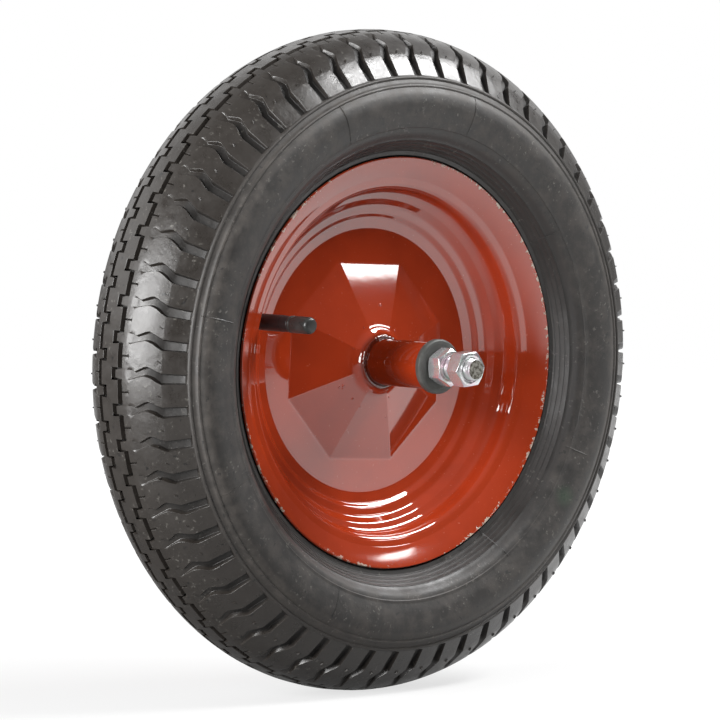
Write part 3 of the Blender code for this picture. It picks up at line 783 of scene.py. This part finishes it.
def wall_line(tyre):
    """Outer side of a sidewall from the tread's foot to the bead's lip, as (radius, s)."""
    widest = tyre.half_width / MM
    ridges = [
        (163.1, 38.35), (162.9, 38.9), (162.4, 39.25), (161.7, 39.2), (161.2, 38.85),
        (159.8, 39.6), (159.0, 40.3), (158.5, 41.2), (157.8, 41.6), (157.1, 41.4), (156.8, 41.3),
    ]
    wall = flowing([(156.8, 41.3), (153.5, 43.4), (148.0, widest), (141.5, 43.9), (135.6, 42.25)], 5)
    step = [(134.9, 42.3), (134.3, 42.15), (133.9, 41.7)]
    lower = flowing([(133.9, 41.7), (131.0, 40.5), (127.5, 36.9)], 3)
    ribs = []
    for index in range(4):
        radius = 126.4 - 1.9 * index
        slope = 36.0 - 2.1 * index
        for out, lift in ((0.45, 0.0), (0.2, 0.4), (-0.2, 0.35), (-0.45, 0.0)):
            ribs.append((radius + out, slope + out * 1.1 + lift))
    lip = [(118.9, 28.9), (118.1, 28.7), (117.8, 27.9), (117.7, 26.4)]
    line = ridges + wall[1:] + step + lower[1:] + ribs + lip
    return [(radius * MM, s * MM) for radius, s in line]


def inside_line():
    """Bead, toe and air side of one half, as (radius, s)."""
    bead = [
        (112.0, 24.4), (106.0, 20.6), (102.4, 19.4), (101.4, 17.0), (101.0, 13.0), (101.6, 11.0),
        (104.0, 11.4),
    ]
    air = flowing([
        (104.0, 11.4), (118.0, 24.0), (132.0, 35.0), (149.0, 39.2), (160.0, 34.0), (168.0, 24.5),
        (176.0, 12.0), (179.5, 0.0),
    ], 3)
    return [(radius * MM, s * MM) for radius, s in bead + air[1:]]


# degrees around the axle, and the radii in mm between which each line runs
MOULD_LINES = (
    (-24.0, 131.0, 146.0), (-57.2, 117.0, 136.0), (32.2, 119.0, 134.0), (72.0, 134.0, 158.0),
    (167.4, 137.0, 159.0), (205.0, 131.0, 157.0), (246.0, 134.0, 158.0), (110.0, 134.0, 158.0),
)


def mould_lines(tyre, side):
    """Hair-thin raised lines that the mould's air channels leave on a sidewall."""
    made = []
    line = wall_line(tyre)
    for index, (angle, low, high) in enumerate(MOULD_LINES):
        path = [(r, s) for r, s in line if low * MM <= r <= high * MM]
        turn = radians(angle) if side < 0 else radians(angle) + REAR_LINES_TURN
        points = [(r * cos(turn), side * s, r * sin(turn)) for r, s in path]
        made.append(wire_tube("mould_line_%d" % index, points, LINE_WIDTH, 0))
    return made


def make_tyre(tyre):
    """The tread, bridged on each side to walls that are spun in one loop, and its fine lines."""
    band = tread_band(tyre)
    half = wall_line(tyre) + inside_line()
    loop = sided(half, -1.0) + sided(half[::-1], 1.0)[1:]
    body = lathe("tyre_walls", loop, COLUMNS * tyre.pitches // 3)
    joined(body, band)
    edit(body)
    bpy.ops.mesh.select_mode(type="EDGE")
    for side in (-1.0, 1.0):
        bpy.ops.mesh.select_all(action="DESELECT")
        mesh = bmesh.from_edit_mesh(body.data)
        for edge in mesh.edges:
            middle = (edge.verts[0].co.y + edge.verts[1].co.y) / 2
            if edge.is_boundary and middle * side > 0.0:
                edge.select_set(True)
        bmesh.update_edit_mesh(body.data)
        bpy.ops.mesh.bridge_edge_loops()
    bpy.ops.mesh.select_mode(type="VERT")
    weld()
    done()
    for side in (-1.0, 1.0):
        joined(body, *mould_lines(tyre, side))
    return named("tyre_rubber")


# Rim


def disc_height(distance):
    """Height of the pressed disc over the mid-plane at a distance towards a facet's foot."""
    slope = DISC_RISE / (FACET_A - NECK_R)
    inside = FACET_A - distance
    if inside <= -FOOT_BEND:
        return RING_S
    if inside < FOOT_BEND:
        return RING_S + slope * (inside + FOOT_BEND) ** 2 / (4 * FOOT_BEND)
    return RING_S + slope * inside


def pressed_height(distance, radius):
    """The same with the curve that leads up to the hub tube."""
    share = max(0.0, (NECK_FOOT - radius) / (NECK_FOOT - NECK_R))
    return disc_height(distance) + NECK_LIFT * share ** 2


def rim_line(rim):
    """The side that shows of one half, from the flange's edge to the collar, as (radius, s)."""
    edge_r, edge_s = rim.flange_radius, rim.half_width
    outer = rounded([
        (edge_r, edge_s, 0.0), (edge_r - 11.5 * MM, edge_s - 6.4 * MM, 5 * MM),
        (98.8 * MM, 22.0 * MM, 5.0 * MM), (98.0 * MM, 13.0 * MM, 5.5 * MM),
        (92.4 * MM, 10.0 * MM, 4.5 * MM), (88.8 * MM, 6.1 * MM, 4.5 * MM),
        (84.0 * MM, 5.0 * MM, 3.5 * MM), (81.6 * MM, 2.8 * MM, 3.5 * MM), (RING_R, RING_S, 5 * MM),
        (FLAT_R, RING_S, 0.0),
    ], 5)
    # rows in mm, closer together where the sheet bends at the octagon's foot and at the neck
    rows = [68.0, 63.0, 59.5, 57.8, 57.2, 56.6, 56.08, 55.5, 54.9, 54.3, 52.5, 47.0, 40.0, 32.0]
    rows += [25.0, 21.2, 20.2, 19.6, 19.1, 18.6, 18.1, 17.5]
    disc = [(radius * MM, pressed_height(radius * MM, radius * MM)) for radius in rows]
    neck_s = pressed_height(NECK_R, NECK_R)
    collar = [(NECK_R, neck_s), (16.2 * MM, neck_s + 1.0 * MM), (15.25 * MM, neck_s + 2.3 * MM)]
    return outer + disc + collar


def octagon_turn(side):
    return OCTAGON_TURN if side < 0 else -OCTAGON_TURN


def press_octagon(obj, side):
    """Move the disc's round rows to the flat facets of the pressed octagon."""
    smallest, largest = NECK_R + 0.01 * MM, FLAT_R - 0.1 * MM
    crowding = 1.45                 # columns stand closer together towards the facets' ridges
    tiny = 0.00001
    for vertex in obj.data.vertices:
        co = vertex.co
        radius = hypot(co.x, co.z)
        angle = atan2(co.z, co.x)
        if angle < -10 * tiny:
            angle += tau
        count, along = divmod(angle + tiny, FACET)
        off = min(1.0, max(-1.0, (along - tiny) / FACET * 2.0 - 1.0))
        bent = (1.0 - (1.0 - abs(off)) ** crowding) * (1.0 if off > 0 else -1.0)
        phi = bent * FACET / 2
        angle = (count + 0.5) * FACET + phi + octagon_turn(side)
        if smallest < radius < largest:
            foot = FACET_A / cos(phi)
            if radius <= FACET_A:
                share = (radius - NECK_R) / (FACET_A - NECK_R)
                radius = NECK_R + share * (foot - NECK_R)
            else:
                share = (radius - FACET_A) / (FLAT_R - FACET_A)
                radius = foot + share * (FLAT_R - foot)
            co.y = side * pressed_height(radius * cos(phi), radius)
        co.x, co.z = radius * cos(angle), radius * sin(angle)


def make_rim_half(rim, name, side):
    """A spun sheet, pressed to the octagon, thickened inwards and, in front, cut for the valve."""
    half = lathe("rim_%s_sheet" % name, sided(rim_line(rim), side), RIM_STEPS)
    press_octagon(half, side)
    half.data.update()

    def off_ring(face):
        return abs(hypot(face.center.x, face.center.z) - (RING_R + FACET_A) / 2)

    shown = min(half.data.polygons, key=off_ring)
    if shown.normal.y * side < 0.0:
        edit(half)
        bpy.ops.mesh.select_all(action="SELECT")
        bpy.ops.mesh.flip_normals()
        done()
    modified(half, "SOLIDIFY", thickness=SHEET, offset=-1.0, use_even_offset=True)
    modified(
        half, "BEVEL", width=0.45 * MM, segments=2, limit_method="ANGLE", angle_limit=radians(50.0),
    )
    if side < 0:
        depth = rim.half_width
        start_clean()
        bpy.ops.mesh.primitive_cylinder_add(
            vertices=48, radius=VALVE_HOLE_R, depth=depth, location=(VALVE_X, -depth / 2, VALVE_Z),
            rotation=(pi / 2, 0.0, 0.0),
        )
        combined(half, named("valve_hole"), "DIFFERENCE")
    return half


# Hub, axle and bearings


def apply_place():
    bpy.ops.object.transform_apply(location=True, rotation=True, scale=True)


def make_hub_tube(hub):
    half, edge = HUB_TOP.y, 0.4 * MM
    outline = closed([
        (hub.tube_radius, half, edge), (hub.tube_radius, -half, edge), (BORE_R, -half, edge),
        (BORE_R, half, edge),
    ], 2)
    return lathe("hub_tube_painted", outline, 96)


def weld_bead(hub, name, side):
    """A torus around the hub tube's foot whose thickness varies along it."""
    ring_radius = hub.tube_radius + BEAD_OUT
    middle_s = pressed_height(NECK_R, NECK_R) + BEAD_LIFT
    start_clean()
    bpy.ops.mesh.primitive_torus_add(
        major_radius=ring_radius, minor_radius=BEAD_R, major_segments=200, minor_segments=14,
        rotation=(pi / 2, 0.0, 0.0), location=(0.0, side * middle_s, 0.0),
    )
    bead = named("weld_%s" % name)
    apply_place()
    for vertex in bead.data.vertices:
        co = vertex.co
        angle = atan2(co.z, co.x)
        ripple = 0.04 * sin(angle * 38) + 0.13 * sin(angle * 7 + 1.3) + 0.10 * sin(angle * 3 + 0.4)
        ring = Vector((cos(angle), 0.0, sin(angle))) * ring_radius
        ring.y = side * middle_s
        vertex.co = ring + (co - ring) * (1.0 + ripple)
    return bead


def make_weld(hub, name, side):
    """The weld's bead, with drops of spatter on the disc."""
    bead = weld_bead(hub, name, side)
    drops = random.Random(7)
    made = []
    for index in range(SPATTER):
        angle, radius = drops.uniform(0.0, tau), drops.uniform(19.0, 40.0) * MM
        size = drops.uniform(0.35, 0.9) * MM
        phi = (angle - octagon_turn(side)) % FACET - FACET / 2
        s = pressed_height(radius * cos(phi), radius)
        start_clean()
        bpy.ops.mesh.primitive_uv_sphere_add(
            segments=12, ring_count=8, radius=size,
            location=(radius * cos(angle), side * s, radius * sin(angle)),
        )
        drop = named("drop_%d" % index)
        drop.scale = (1.0, 0.6, 1.0)
        apply_place()
        made.append(drop)
    joined(bead, *made)
    return bead


def near_and_far(low, high):
    """How far the two ends of a box stand from the mid-plane."""
    return sorted((abs(low.y), abs(high.y)))


def make_dust_cap(name, side):
    """A flange over the hub tube's end, with a collar that goes into its bore."""
    low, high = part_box("dust_cap_" + name)
    root, face = near_and_far(low, high)
    flange, seat = 15.5 * MM, face - 3.7 * MM
    outline = closed([
        (flange, seat, 0.3 * MM), (flange, face - 0.9 * MM, 0.5 * MM), (flange - 1.0 * MM, face, 0.5 * MM),
        (12.6 * MM, face, 0.1 * MM), (12.2 * MM, face - 0.25 * MM, 0.1 * MM),
        (6.6 * MM, face - 0.25 * MM, 0.2 * MM), (6.6 * MM, root, 0.2 * MM), (9.7 * MM, root, 0.5 * MM),
        (9.7 * MM, seat, 0.1 * MM),
    ], 2)
    return lathe("dust_cap_%s_moulded" % name, sided(outline, side), 96)


def thread_form(turns):
    """0 on the crest and 1 in the root of a V thread with flats."""
    place = abs((turns - floor(turns)) * 2.0 - 1.0)
    return min(1.0, max(0.0, (place - 0.14) / 0.66))


def make_axle(hub):
    """A bar whose ends are subdivided along the thread and then cut to its helix."""
    end, radius = AXLE_TOP.y, hub.axle_radius
    chamfer = 0.6 * MM
    points = [(0.0, -end), (radius - chamfer, -end), (radius, chamfer - end), (radius, -THREAD_START)]
    points += [(r, -y) for r, y in points[::-1]]
    bar = drawn_line("axle_threaded", points)
    cuts = int((end - THREAD_START) / THREAD_PITCH * THREAD_ROWS)
    bpy.ops.mesh.select_mode(type="EDGE")
    bpy.ops.mesh.select_all(action="DESELECT")
    mesh = bmesh.from_edit_mesh(bar.data)
    for edge in mesh.edges:
        middle = abs(edge.verts[0].co.y + edge.verts[1].co.y) / 2
        straight = abs(edge.verts[0].co.x - edge.verts[1].co.x) < MERGE
        edge.select_set(straight and middle > THREAD_START)
    bmesh.update_edit_mesh(bar.data)
    bpy.ops.mesh.subdivide(number_cuts=cuts)
    bpy.ops.mesh.select_mode(type="VERT")
    bpy.ops.mesh.select_all(action="SELECT")
    bpy.ops.mesh.spin(steps=48, angle=tau, center=(0.0, 0.0, 0.0), axis=(0.0, 1.0, 0.0))
    weld()
    done()
    for vertex in bar.data.vertices:
        co = vertex.co
        reach = abs(co.y)
        if reach < THREAD_START or hypot(co.x, co.z) < radius - 0.1 * MM:
            continue
        angle = atan2(co.z, co.x)
        fade = min(1.0, (reach - THREAD_START) / THREAD_PITCH)
        depth = THREAD_DEPTH * fade * thread_form(co.y / THREAD_PITCH + angle / tau)
        limit = radius - max(0.0, reach - (end - chamfer))
        now = min(radius - depth, limit)
        co.x, co.z = now * cos(angle), now * sin(angle)
    return bar


def make_nut(hub, place, name, side):
    """A hexagonal bar's slice, its corners turned off on both faces and its bore opened."""
    low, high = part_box("%s_nut_%s" % (place, name))
    near, far = near_and_far(low, high)
    middle, height = (near + far) / 2, far - near
    start_clean()
    bpy.ops.mesh.primitive_cylinder_add(
        vertices=6, radius=hub.nut_flats / 3 ** 0.5, depth=height,
        location=(0.0, side * middle, 0.0), rotation=(pi / 2, side * NUT_TURN[place], 0.0),
    )
    nut = named("nut_%s_%s" % (place, name))
    apply_place()
    past = 1.0 * MM                 # how far the cutters reach past the nut's faces
    face = hub.nut_flats / 2 * 0.95
    narrow, wide = face - past / tan(NUT_CHAMFER), face + height / 2 / tan(NUT_CHAMFER)
    cone = [
        (0.0, near - past), (narrow, near - past), (wide, middle), (narrow, far + past),
        (0.0, far + past),
    ]
    combined(nut, lathe("nut_cone", sided(cone, side), 96), "INTERSECT")
    bore, flare = hub.axle_radius + 0.12 * MM, 0.9 * MM
    mouth = hub.axle_radius + flare + past
    well = [
        (0.0, near - past), (mouth, near - past), (bore, near + flare), (bore, far - flare),
        (mouth, far + past), (0.0, far + past),
    ]
    combined(nut, lathe("nut_bore", sided(well, side), 64), "DIFFERENCE")
    modified(nut, "BEVEL", width=0.22 * MM, segments=2, limit_method="ANGLE", angle_limit=radians(24.0))
    return nut


def make_cage(name, side):
    """Moulded cage with a window for each roller."""
    low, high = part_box("roller_cage_" + name)
    near, far = near_and_far(low, high)
    outer, inner = high.z, 6.9 * MM
    outline = closed([
        (outer, near, 0.3 * MM), (outer, far, 0.3 * MM), (inner, far, 0.2 * MM), (inner, near, 0.2 * MM),
    ], 2)
    cage = lathe("cage_%s_moulded" % name, sided(outline, side), 60)
    boxes = []
    for index in range(5):
        roller_low, roller_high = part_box("roller_%s_%d" % (name, index + 1))
        middle = (roller_low + roller_high) / 2
        angle = atan2(middle.z, middle.x)
        start_clean()
        bpy.ops.mesh.primitive_cube_add(size=1.0, location=middle, rotation=(0.0, -angle, 0.0))
        box = named("window_%d" % index)
        box.scale = (8 * MM, roller_high.y - roller_low.y + 0.5 * MM, 3.9 * MM)
        apply_place()
        boxes.append(box)
    combined(cage, joined(*boxes), "DIFFERENCE")
    return cage


def make_rollers(name):
    """One rounded roller, then a copy for each place in the cage."""
    low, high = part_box("roller_%s_1" % name)
    half, radius = (high.y - low.y) / 2, 1.7 * MM
    outline = rounded([
        (0.0, -half, 0.0), (radius, -half, 0.25 * MM), (radius, half, 0.25 * MM), (0.0, half, 0.0),
    ], 2)
    first = lathe("roller_pattern", outline, 32)
    made = []
    for index in range(5):
        low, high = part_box("roller_%s_%d" % (name, index + 1))
        copy = twin(first, "roller_%s_%d_ground" % (name, index + 1))
        made.append(moved(copy, tuple((low + high) / 2)))
    bpy.data.objects.remove(first, do_unlink=True)
    return made


# Valve


def make_stem():
    """Rubber stem with a waisted foot that enters the inner tube."""
    root, tip, floor_s = STEM_HIGH.y, -STEM_LOW.y, 13.7 * MM
    outline = closed([
        (4.7 * MM, -root, 0.8 * MM), (4.7 * MM, tip - 6.5 * MM, 0.3 * MM),
        (4.55 * MM, tip - 6.0 * MM, 0.3 * MM), (4.55 * MM, tip, 0.5 * MM), (3.0 * MM, tip, 0.2 * MM),
        (3.0 * MM, floor_s, 0.1 * MM), (1.4 * MM, floor_s, 0.1 * MM), (1.4 * MM, -root, 0.1 * MM),
    ], 3)
    stem = lathe("valve_stem_rubber", sided(outline, -1.0), 48, (VALVE_X, VALVE_Z))
    outward = atan2(VALVE_Z, VALVE_X)
    reach = hypot(VALVE_X, VALVE_Z) + 4.9 * MM
    start_clean()
    bpy.ops.mesh.primitive_cylinder_add(
        vertices=32, radius=3.2 * MM, depth=6.0 * MM,
        location=(reach * cos(outward), 0.0, reach * sin(outward)),
        rotation=(0.0, pi / 2 - outward, 0.0),
    )
    foot = named("valve_foot")
    apply_place()
    combined(stem, foot, "UNION")
    return stem


def make_sleeve():
    """Brass sleeve, threaded outside for the cap and open for the core."""
    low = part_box("valve_sleeve")[0]
    tip, root, step = -low.y, 14.0 * MM, 37.3 * MM
    outline = [(SLEEVE_R, tip - SLEEVE_ROW * row) for row in range(int((tip - step) / SLEEVE_ROW))]
    outline += [
        (SLEEVE_R, step), (2.7 * MM, step), (2.7 * MM, root), (1.4 * MM, root),
        (1.4 * MM, 26.0 * MM), (2.2 * MM, 27.0 * MM), (2.2 * MM, tip), (SLEEVE_R, tip),
    ]
    sleeve = lathe("valve_sleeve_brass", sided(outline, -1.0), 40)
    for vertex in sleeve.data.vertices:
        co = vertex.co
        radius, reach = hypot(co.x, co.z), abs(co.y)
        if radius > SLEEVE_R - 0.1 * MM and reach > step + 0.05 * MM:
            angle = atan2(co.z, co.x)
            fade = min(1.0, (reach - step) / SLEEVE_PITCH, (tip - reach) / (0.3 * MM) + 0.4)
            radius -= 0.45 * MM * fade * thread_form(co.y / SLEEVE_PITCH + angle / tau)
            co.x, co.z = radius * cos(angle), radius * sin(angle)
    return moved(sleeve, (VALVE_X, 0.0, VALVE_Z))


def make_core():
    low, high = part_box("valve_core")
    tip, root, seat = -low.y, -high.y, 40.7 * MM
    outline = closed([
        (1.9 * MM, tip, 0.2 * MM), (1.9 * MM, root, 0.2 * MM), (0.8 * MM, root, 0.0),
        (0.8 * MM, seat, 0.0), (1.44 * MM, seat, 0.0), (1.44 * MM, tip, 0.1 * MM),
    ], 2)
    return lathe("valve_core_brass", sided(outline, -1.0), 32, (VALVE_X, VALVE_Z))


def make_pin():
    low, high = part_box("valve_pin")
    tip, root = -low.y, -high.y
    outline = rounded([
        (0.0, tip, 0.0), (1.15 * MM, tip, 0.3 * MM), (1.15 * MM, tip - 0.9 * MM, 0.1 * MM),
        (0.5 * MM, tip - 0.9 * MM, 0.0), (0.5 * MM, root + 2.2 * MM, 0.0),
        (1.7 * MM, root + 2.2 * MM, 0.2 * MM), (1.7 * MM, root, 0.3 * MM), (0.0, root, 0.0),
    ], 2)
    return lathe("valve_pin_brass", sided(outline, -1.0), 32, (VALVE_X, VALVE_Z))


def make_spring():
    low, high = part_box("valve_spring")
    start, end = -high.y + 0.14 * MM, -low.y - 0.14 * MM
    turns, per_turn = 5, 14
    count = turns * per_turn
    points = []
    for index in range(count + 1):
        angle = tau * index / per_turn
        y = -(start + (end - start) * index / count)
        points.append((VALVE_X + 1.0 * MM * cos(angle), y, VALVE_Z + 1.0 * MM * sin(angle)))
    return wire_tube("valve_spring_wire", points, 0.13 * MM, 1)


def make_cap():
    """Moulded screw cap with a groove above its skirt and a round end."""
    foot, tip = -CAP_HIGH.y, -CAP_LOW.y
    outline = rounded([
        (4.1 * MM, foot, 0.0), (4.9 * MM, foot, 0.25 * MM), (4.9 * MM, foot + 1.3 * MM, 0.2 * MM),
        (4.45 * MM, foot + 1.7 * MM, 0.2 * MM), (4.45 * MM, foot + 2.4 * MM, 0.2 * MM),
        (4.85 * MM, foot + 2.9 * MM, 0.3 * MM), (4.85 * MM, tip, 3.2 * MM), (0.0, tip, 0.0),
    ], 5)
    outline += [(0.0, tip - 2.2 * MM), (4.1 * MM, tip - 2.2 * MM), (4.1 * MM, foot)]
    return lathe("valve_cap_moulded", sided(outline, -1.0), 48, (VALVE_X, VALVE_Z))


# Stage


def aimed(obj, target):
    """Turn a lamp or camera so that it looks at a place."""
    obj.rotation_mode = "QUATERNION"
    obj.rotation_quaternion = (Vector(target) - obj.location).to_track_quat("-Z", "Y")
    return obj


def softbox(name, place, target, size, power, roll=0.0):
    start_clean()
    bpy.ops.object.light_add(type="AREA", location=place)
    lamp = named(name)
    lamp.data.shape = "RECTANGLE"
    lamp.data.size, lamp.data.size_y = size
    lamp.data.energy = power
    lamp.visible_camera = False
    aimed(lamp, target)
    lamp.rotation_quaternion = lamp.rotation_quaternion @ Quaternion((0.0, 0.0, 1.0), roll)
    return lamp


def floor_finish(stage):
    """Matt pale floor that shows as white to the camera and still keeps the wheel's shadow."""
    finish = Finish("studio_floor")
    away = finish.node("ShaderNodeVectorMath", operation="LENGTH")
    finish.feed(away.inputs[0], finish.place)
    whiter = finish.between(away.outputs["Value"], 0.35, 1.1, 0.72, 1.0, "LINEAR")
    x, _, _ = finish.split(finish.place)
    mirrored = finish.between(x, -0.15, 0.35, 0.0, 0.95)
    path = finish.node("ShaderNodeLightPath").outputs
    seen = finish.times(path["Is Camera Ray"], whiter)
    strength = finish.math("MULTIPLY_ADD", path["Is Glossy Ray"], mirrored, seen)
    finish.set(base_color=tuple(stage.floor), roughness=0.9, specular_ior_level=0.0)
    finish.set(emission_color=(1.0, 1.0, 1.0), emission_strength=strength)
    return finish.material


def make_world():
    """A white wall behind the wheel, and a dim studio that only lights and mirrors see."""
    world = bpy.data.worlds.new("studio")
    bpy.context.scene.world = world
    world.use_nodes = True
    nodes = Nodes(world.node_tree)
    _, y, z = nodes.split(nodes.coordinates["Generated"])
    wall = nodes.times(
        nodes.between(y, 0.05, 0.45, 0.0, 1.25), nodes.between(z, 0.45, 0.8, 1.0, 0.15),
    )
    wall = nodes.times(wall, nodes.between(z, 0.0, 0.3, 0.2, 1.0))
    light = nodes.plus(wall, nodes.between(z, 0.0, 0.9, 0.02, 0.17))
    path = nodes.node("ShaderNodeLightPath").outputs
    seen = nodes.math("MAXIMUM", path["Is Camera Ray"], path["Is Transmission Ray"])
    strength = nodes.node("ShaderNodeMix", data_type="FLOAT")
    for key, value in (("Factor", seen), ("A", light), ("B", 1.0)):
        nodes.feed(strength.inputs[key], value)
    background = world.node_tree.nodes["Background"]
    nodes.feed(background.inputs["Strength"], strength.outputs["Result"])
    background.inputs["Color"].default_value = (1.0, 1.0, 1.0, 1.0)


# Operators


def finish_solid(node, finish):
    """Give its finish to a piece that keeps the solid's own shape."""
    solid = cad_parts[node]
    solid.data.materials.clear()
    solid.data.materials.append(finish)


class WHEEL_OT_tyre(Operator):
    """Model the treaded tyre and finish the inner tube"""
    bl_idname = "wheel.tyre"
    bl_label = "Tyre"

    def execute(self, context):
        tyre = context.scene.wheel_tyre
        settle(make_tyre(tyre), "wheel", tread_rubber(tyre), ["tyre"], 28.0)
        finish_solid("inner_tube", moulded("butyl_rubber", (0.018, 0.018, 0.019), 0.5, 300.0))
        return {"FINISHED"}


class WHEEL_OT_rim(Operator):
    """Press, square off and thicken both rim halves"""
    bl_idname = "wheel.rim"
    bl_label = "Rim halves"

    def execute(self, context):
        rim = context.scene.wheel_rim
        paint = rim_paint(rim)
        for name, side in SIDES:
            half = make_rim_half(rim, name, side)
            settle(half, "wheel", paint, ["rim_half_" + name], 24.0)
        return {"FINISHED"}


class WHEEL_OT_hub(Operator):
    """Model the hub tube, its welds, the dust caps and the spacer's finish"""
    bl_idname = "wheel.hub"
    bl_label = "Hub"

    def execute(self, context):
        hub = context.scene.wheel_hub
        paint = bpy.data.objects["rim_front_sheet"].data.materials[0]
        plastic = moulded("dust_cap_plastic", tuple(hub.cap), 0.5, 900.0)
        settle(make_hub_tube(hub), "wheel", paint, ["hub_tube"])
        for name, side in SIDES:
            settle(make_weld(hub, name, side), "wheel", paint, angle=60.0)
            settle(make_dust_cap(name, side), "wheel", plastic, ["dust_cap_" + name])
        finish_solid("hub_spacer", turned_metal("spacer_steel", (0.52, 0.52, 0.53), 0.35))
        return {"FINISHED"}


class WHEEL_OT_axle(Operator):
    """Model the threaded axle and its four nuts"""
    bl_idname = "wheel.axle"
    bl_label = "Axle and nuts"

    def execute(self, context):
        hub = context.scene.wheel_hub
        zinc = tuple(hub.zinc)
        bar = make_axle(hub)
        settle(bar, "axle_set", plated("axle_zinc", zinc, 0.30, AXLE_TOP.y), ["axle"], 40.0)
        plate = plated("nut_zinc", zinc, 0.16)
        for place in ("inner", "outer"):
            for name, side in SIDES:
                nut = make_nut(hub, place, name, side)
                settle(nut, "axle_set", plate, ["%s_nut_%s" % (place, name)])
        return {"FINISHED"}


class WHEEL_OT_bearings(Operator):
    """Model the roller cages and their rollers"""
    bl_idname = "wheel.bearings"
    bl_label = "Bearings"

    def execute(self, context):
        nylon = moulded("cage_nylon", (0.70, 0.67, 0.58), 0.42)
        steel = turned_metal("roller_steel", (0.58, 0.58, 0.60), 0.18)
        for name, side in SIDES:
            settle(make_cage(name, side), "cage_" + name, nylon, ["roller_cage_" + name])
            for index, roller in enumerate(make_rollers(name)):
                body = "roller_%s%d" % (name[0], index + 1)
                settle(roller, body, steel, ["roller_%s_%d" % (name, index + 1)])
        return {"FINISHED"}


class WHEEL_OT_valve(Operator):
    """Model the valve's stem, sleeve, core, pin, spring and cap"""
    bl_idname = "wheel.valve"
    bl_label = "Valve"

    def execute(self, context):
        rubber = moulded("valve_rubber", (0.014, 0.014, 0.015), 0.38, 700.0)
        brass = turned_metal("valve_brass", (0.70, 0.50, 0.22), 0.24)
        steel = turned_metal("spring_steel", (0.60, 0.60, 0.62), 0.25)
        plastic = moulded("cap_plastic", (0.030, 0.029, 0.028), 0.30, 900.0)
        settle(make_stem(), "wheel", rubber, ["valve_stem"])
        settle(make_sleeve(), "wheel", brass, ["valve_sleeve"], 40.0)
        settle(make_core(), "wheel", brass, ["valve_core"])
        settle(make_pin(), "valve_pin_body", brass, ["valve_pin"])
        spring = settle(make_spring(), "wheel", steel, ["valve_spring"], 60.0)
        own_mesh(spring)
        settle(make_cap(), "valve_cap_body", plastic, ["valve_cap"])
        return {"FINISHED"}


class WHEEL_OT_stage(Operator):
    """Set the floor, the studio light and the camera"""
    bl_idname = "wheel.stage"
    bl_label = "Stage"

    def execute(self, context):
        stage = context.scene.wheel_stage
        tyre = context.scene.wheel_tyre
        start_clean()
        bpy.ops.mesh.primitive_circle_add(
            vertices=96, radius=FLOOR_R, fill_type="NGON", location=(0.0, 0.0, -tyre.crown_radius)
        )
        ground = named("studio_floor")
        ground.data.materials.append(floor_finish(stage))
        make_world()
        centre, beside_key = (0.0, 0.0, 0.0), (KEY_PLACE[0], 0.0, KEY_PLACE[2])
        softbox("key", KEY_PLACE, beside_key, (0.36, 0.2), stage.key_power)
        softbox("top", TOP_PLACE, centre, (1.0, 0.32), stage.top_power, radians(-30.0))
        softbox("side", SIDE_PLACE, centre, (1.4, 0.95), stage.side_power)
        scene = context.scene
        scene.view_settings.view_transform = "Standard"
        start_clean()
        bpy.ops.object.camera_add()
        camera = named("camera")
        azimuth, elevation = stage.azimuth, stage.elevation
        back = Vector((
            sin(azimuth) * cos(elevation), -cos(azimuth) * cos(elevation), sin(elevation),
        ))
        camera.location = back * stage.distance
        aimed(camera, centre)
        camera.data.sensor_width = 36.0
        camera.data.lens = stage.lens
        camera.data.shift_x = -0.004
        camera.data.clip_end = 100.0
        scene.camera = camera
        return {"FINISHED"}


class WHEEL_PT_sidebar(Panel):
    """Sizes, colours and steps of the wheelbarrow wheel"""
    bl_idname = "WHEEL_PT_sidebar"
    bl_label = "Wheelbarrow Wheel"
    bl_space_type = "VIEW_3D"
    bl_region_type = "UI"
    bl_category = "Wheel"

    def draw(self, context):
        for step in STEPS:
            self.layout.operator(step.bl_idname)
        for group in (context.scene.wheel_tyre, context.scene.wheel_rim, context.scene.wheel_hub,
                      context.scene.wheel_stage):
            column = self.layout.column(align=True)
            for key in group.bl_rna.properties.keys():
                if key not in ("rna_type", "name"):
                    column.prop(group, key, text=key.replace("_", " ").capitalize())


STEPS = (
    WHEEL_OT_tyre, WHEEL_OT_rim, WHEEL_OT_hub, WHEEL_OT_axle, WHEEL_OT_bearings, WHEEL_OT_valve,
    WHEEL_OT_stage,
)
GROUPS = {
    "wheel_tyre": TyreSettings, "wheel_rim": RimSettings, "wheel_hub": HubSettings,
    "wheel_stage": StageSettings,
}


def register():
    for group in GROUPS.values():
        bpy.utils.register_class(group)
    for step in (*STEPS, WHEEL_PT_sidebar):
        bpy.utils.register_class(step)
    for key, group in GROUPS.items():
        setattr(bpy.types.Scene, key, PointerProperty(type=group))


def unregister():
    for key in GROUPS:
        delattr(bpy.types.Scene, key)
    for step in (WHEEL_PT_sidebar, *STEPS):
        bpy.utils.unregister_class(step)
    for group in GROUPS.values():
        bpy.utils.unregister_class(group)


def main():
    register()
    bpy.ops.wheel.tyre()
    bpy.ops.wheel.rim()
    bpy.ops.wheel.hub()
    bpy.ops.wheel.axle()
    bpy.ops.wheel.bearings()
    bpy.ops.wheel.valve()
    bpy.ops.wheel.stage()
    start_clean()


if __name__ == "__main__":
    main()
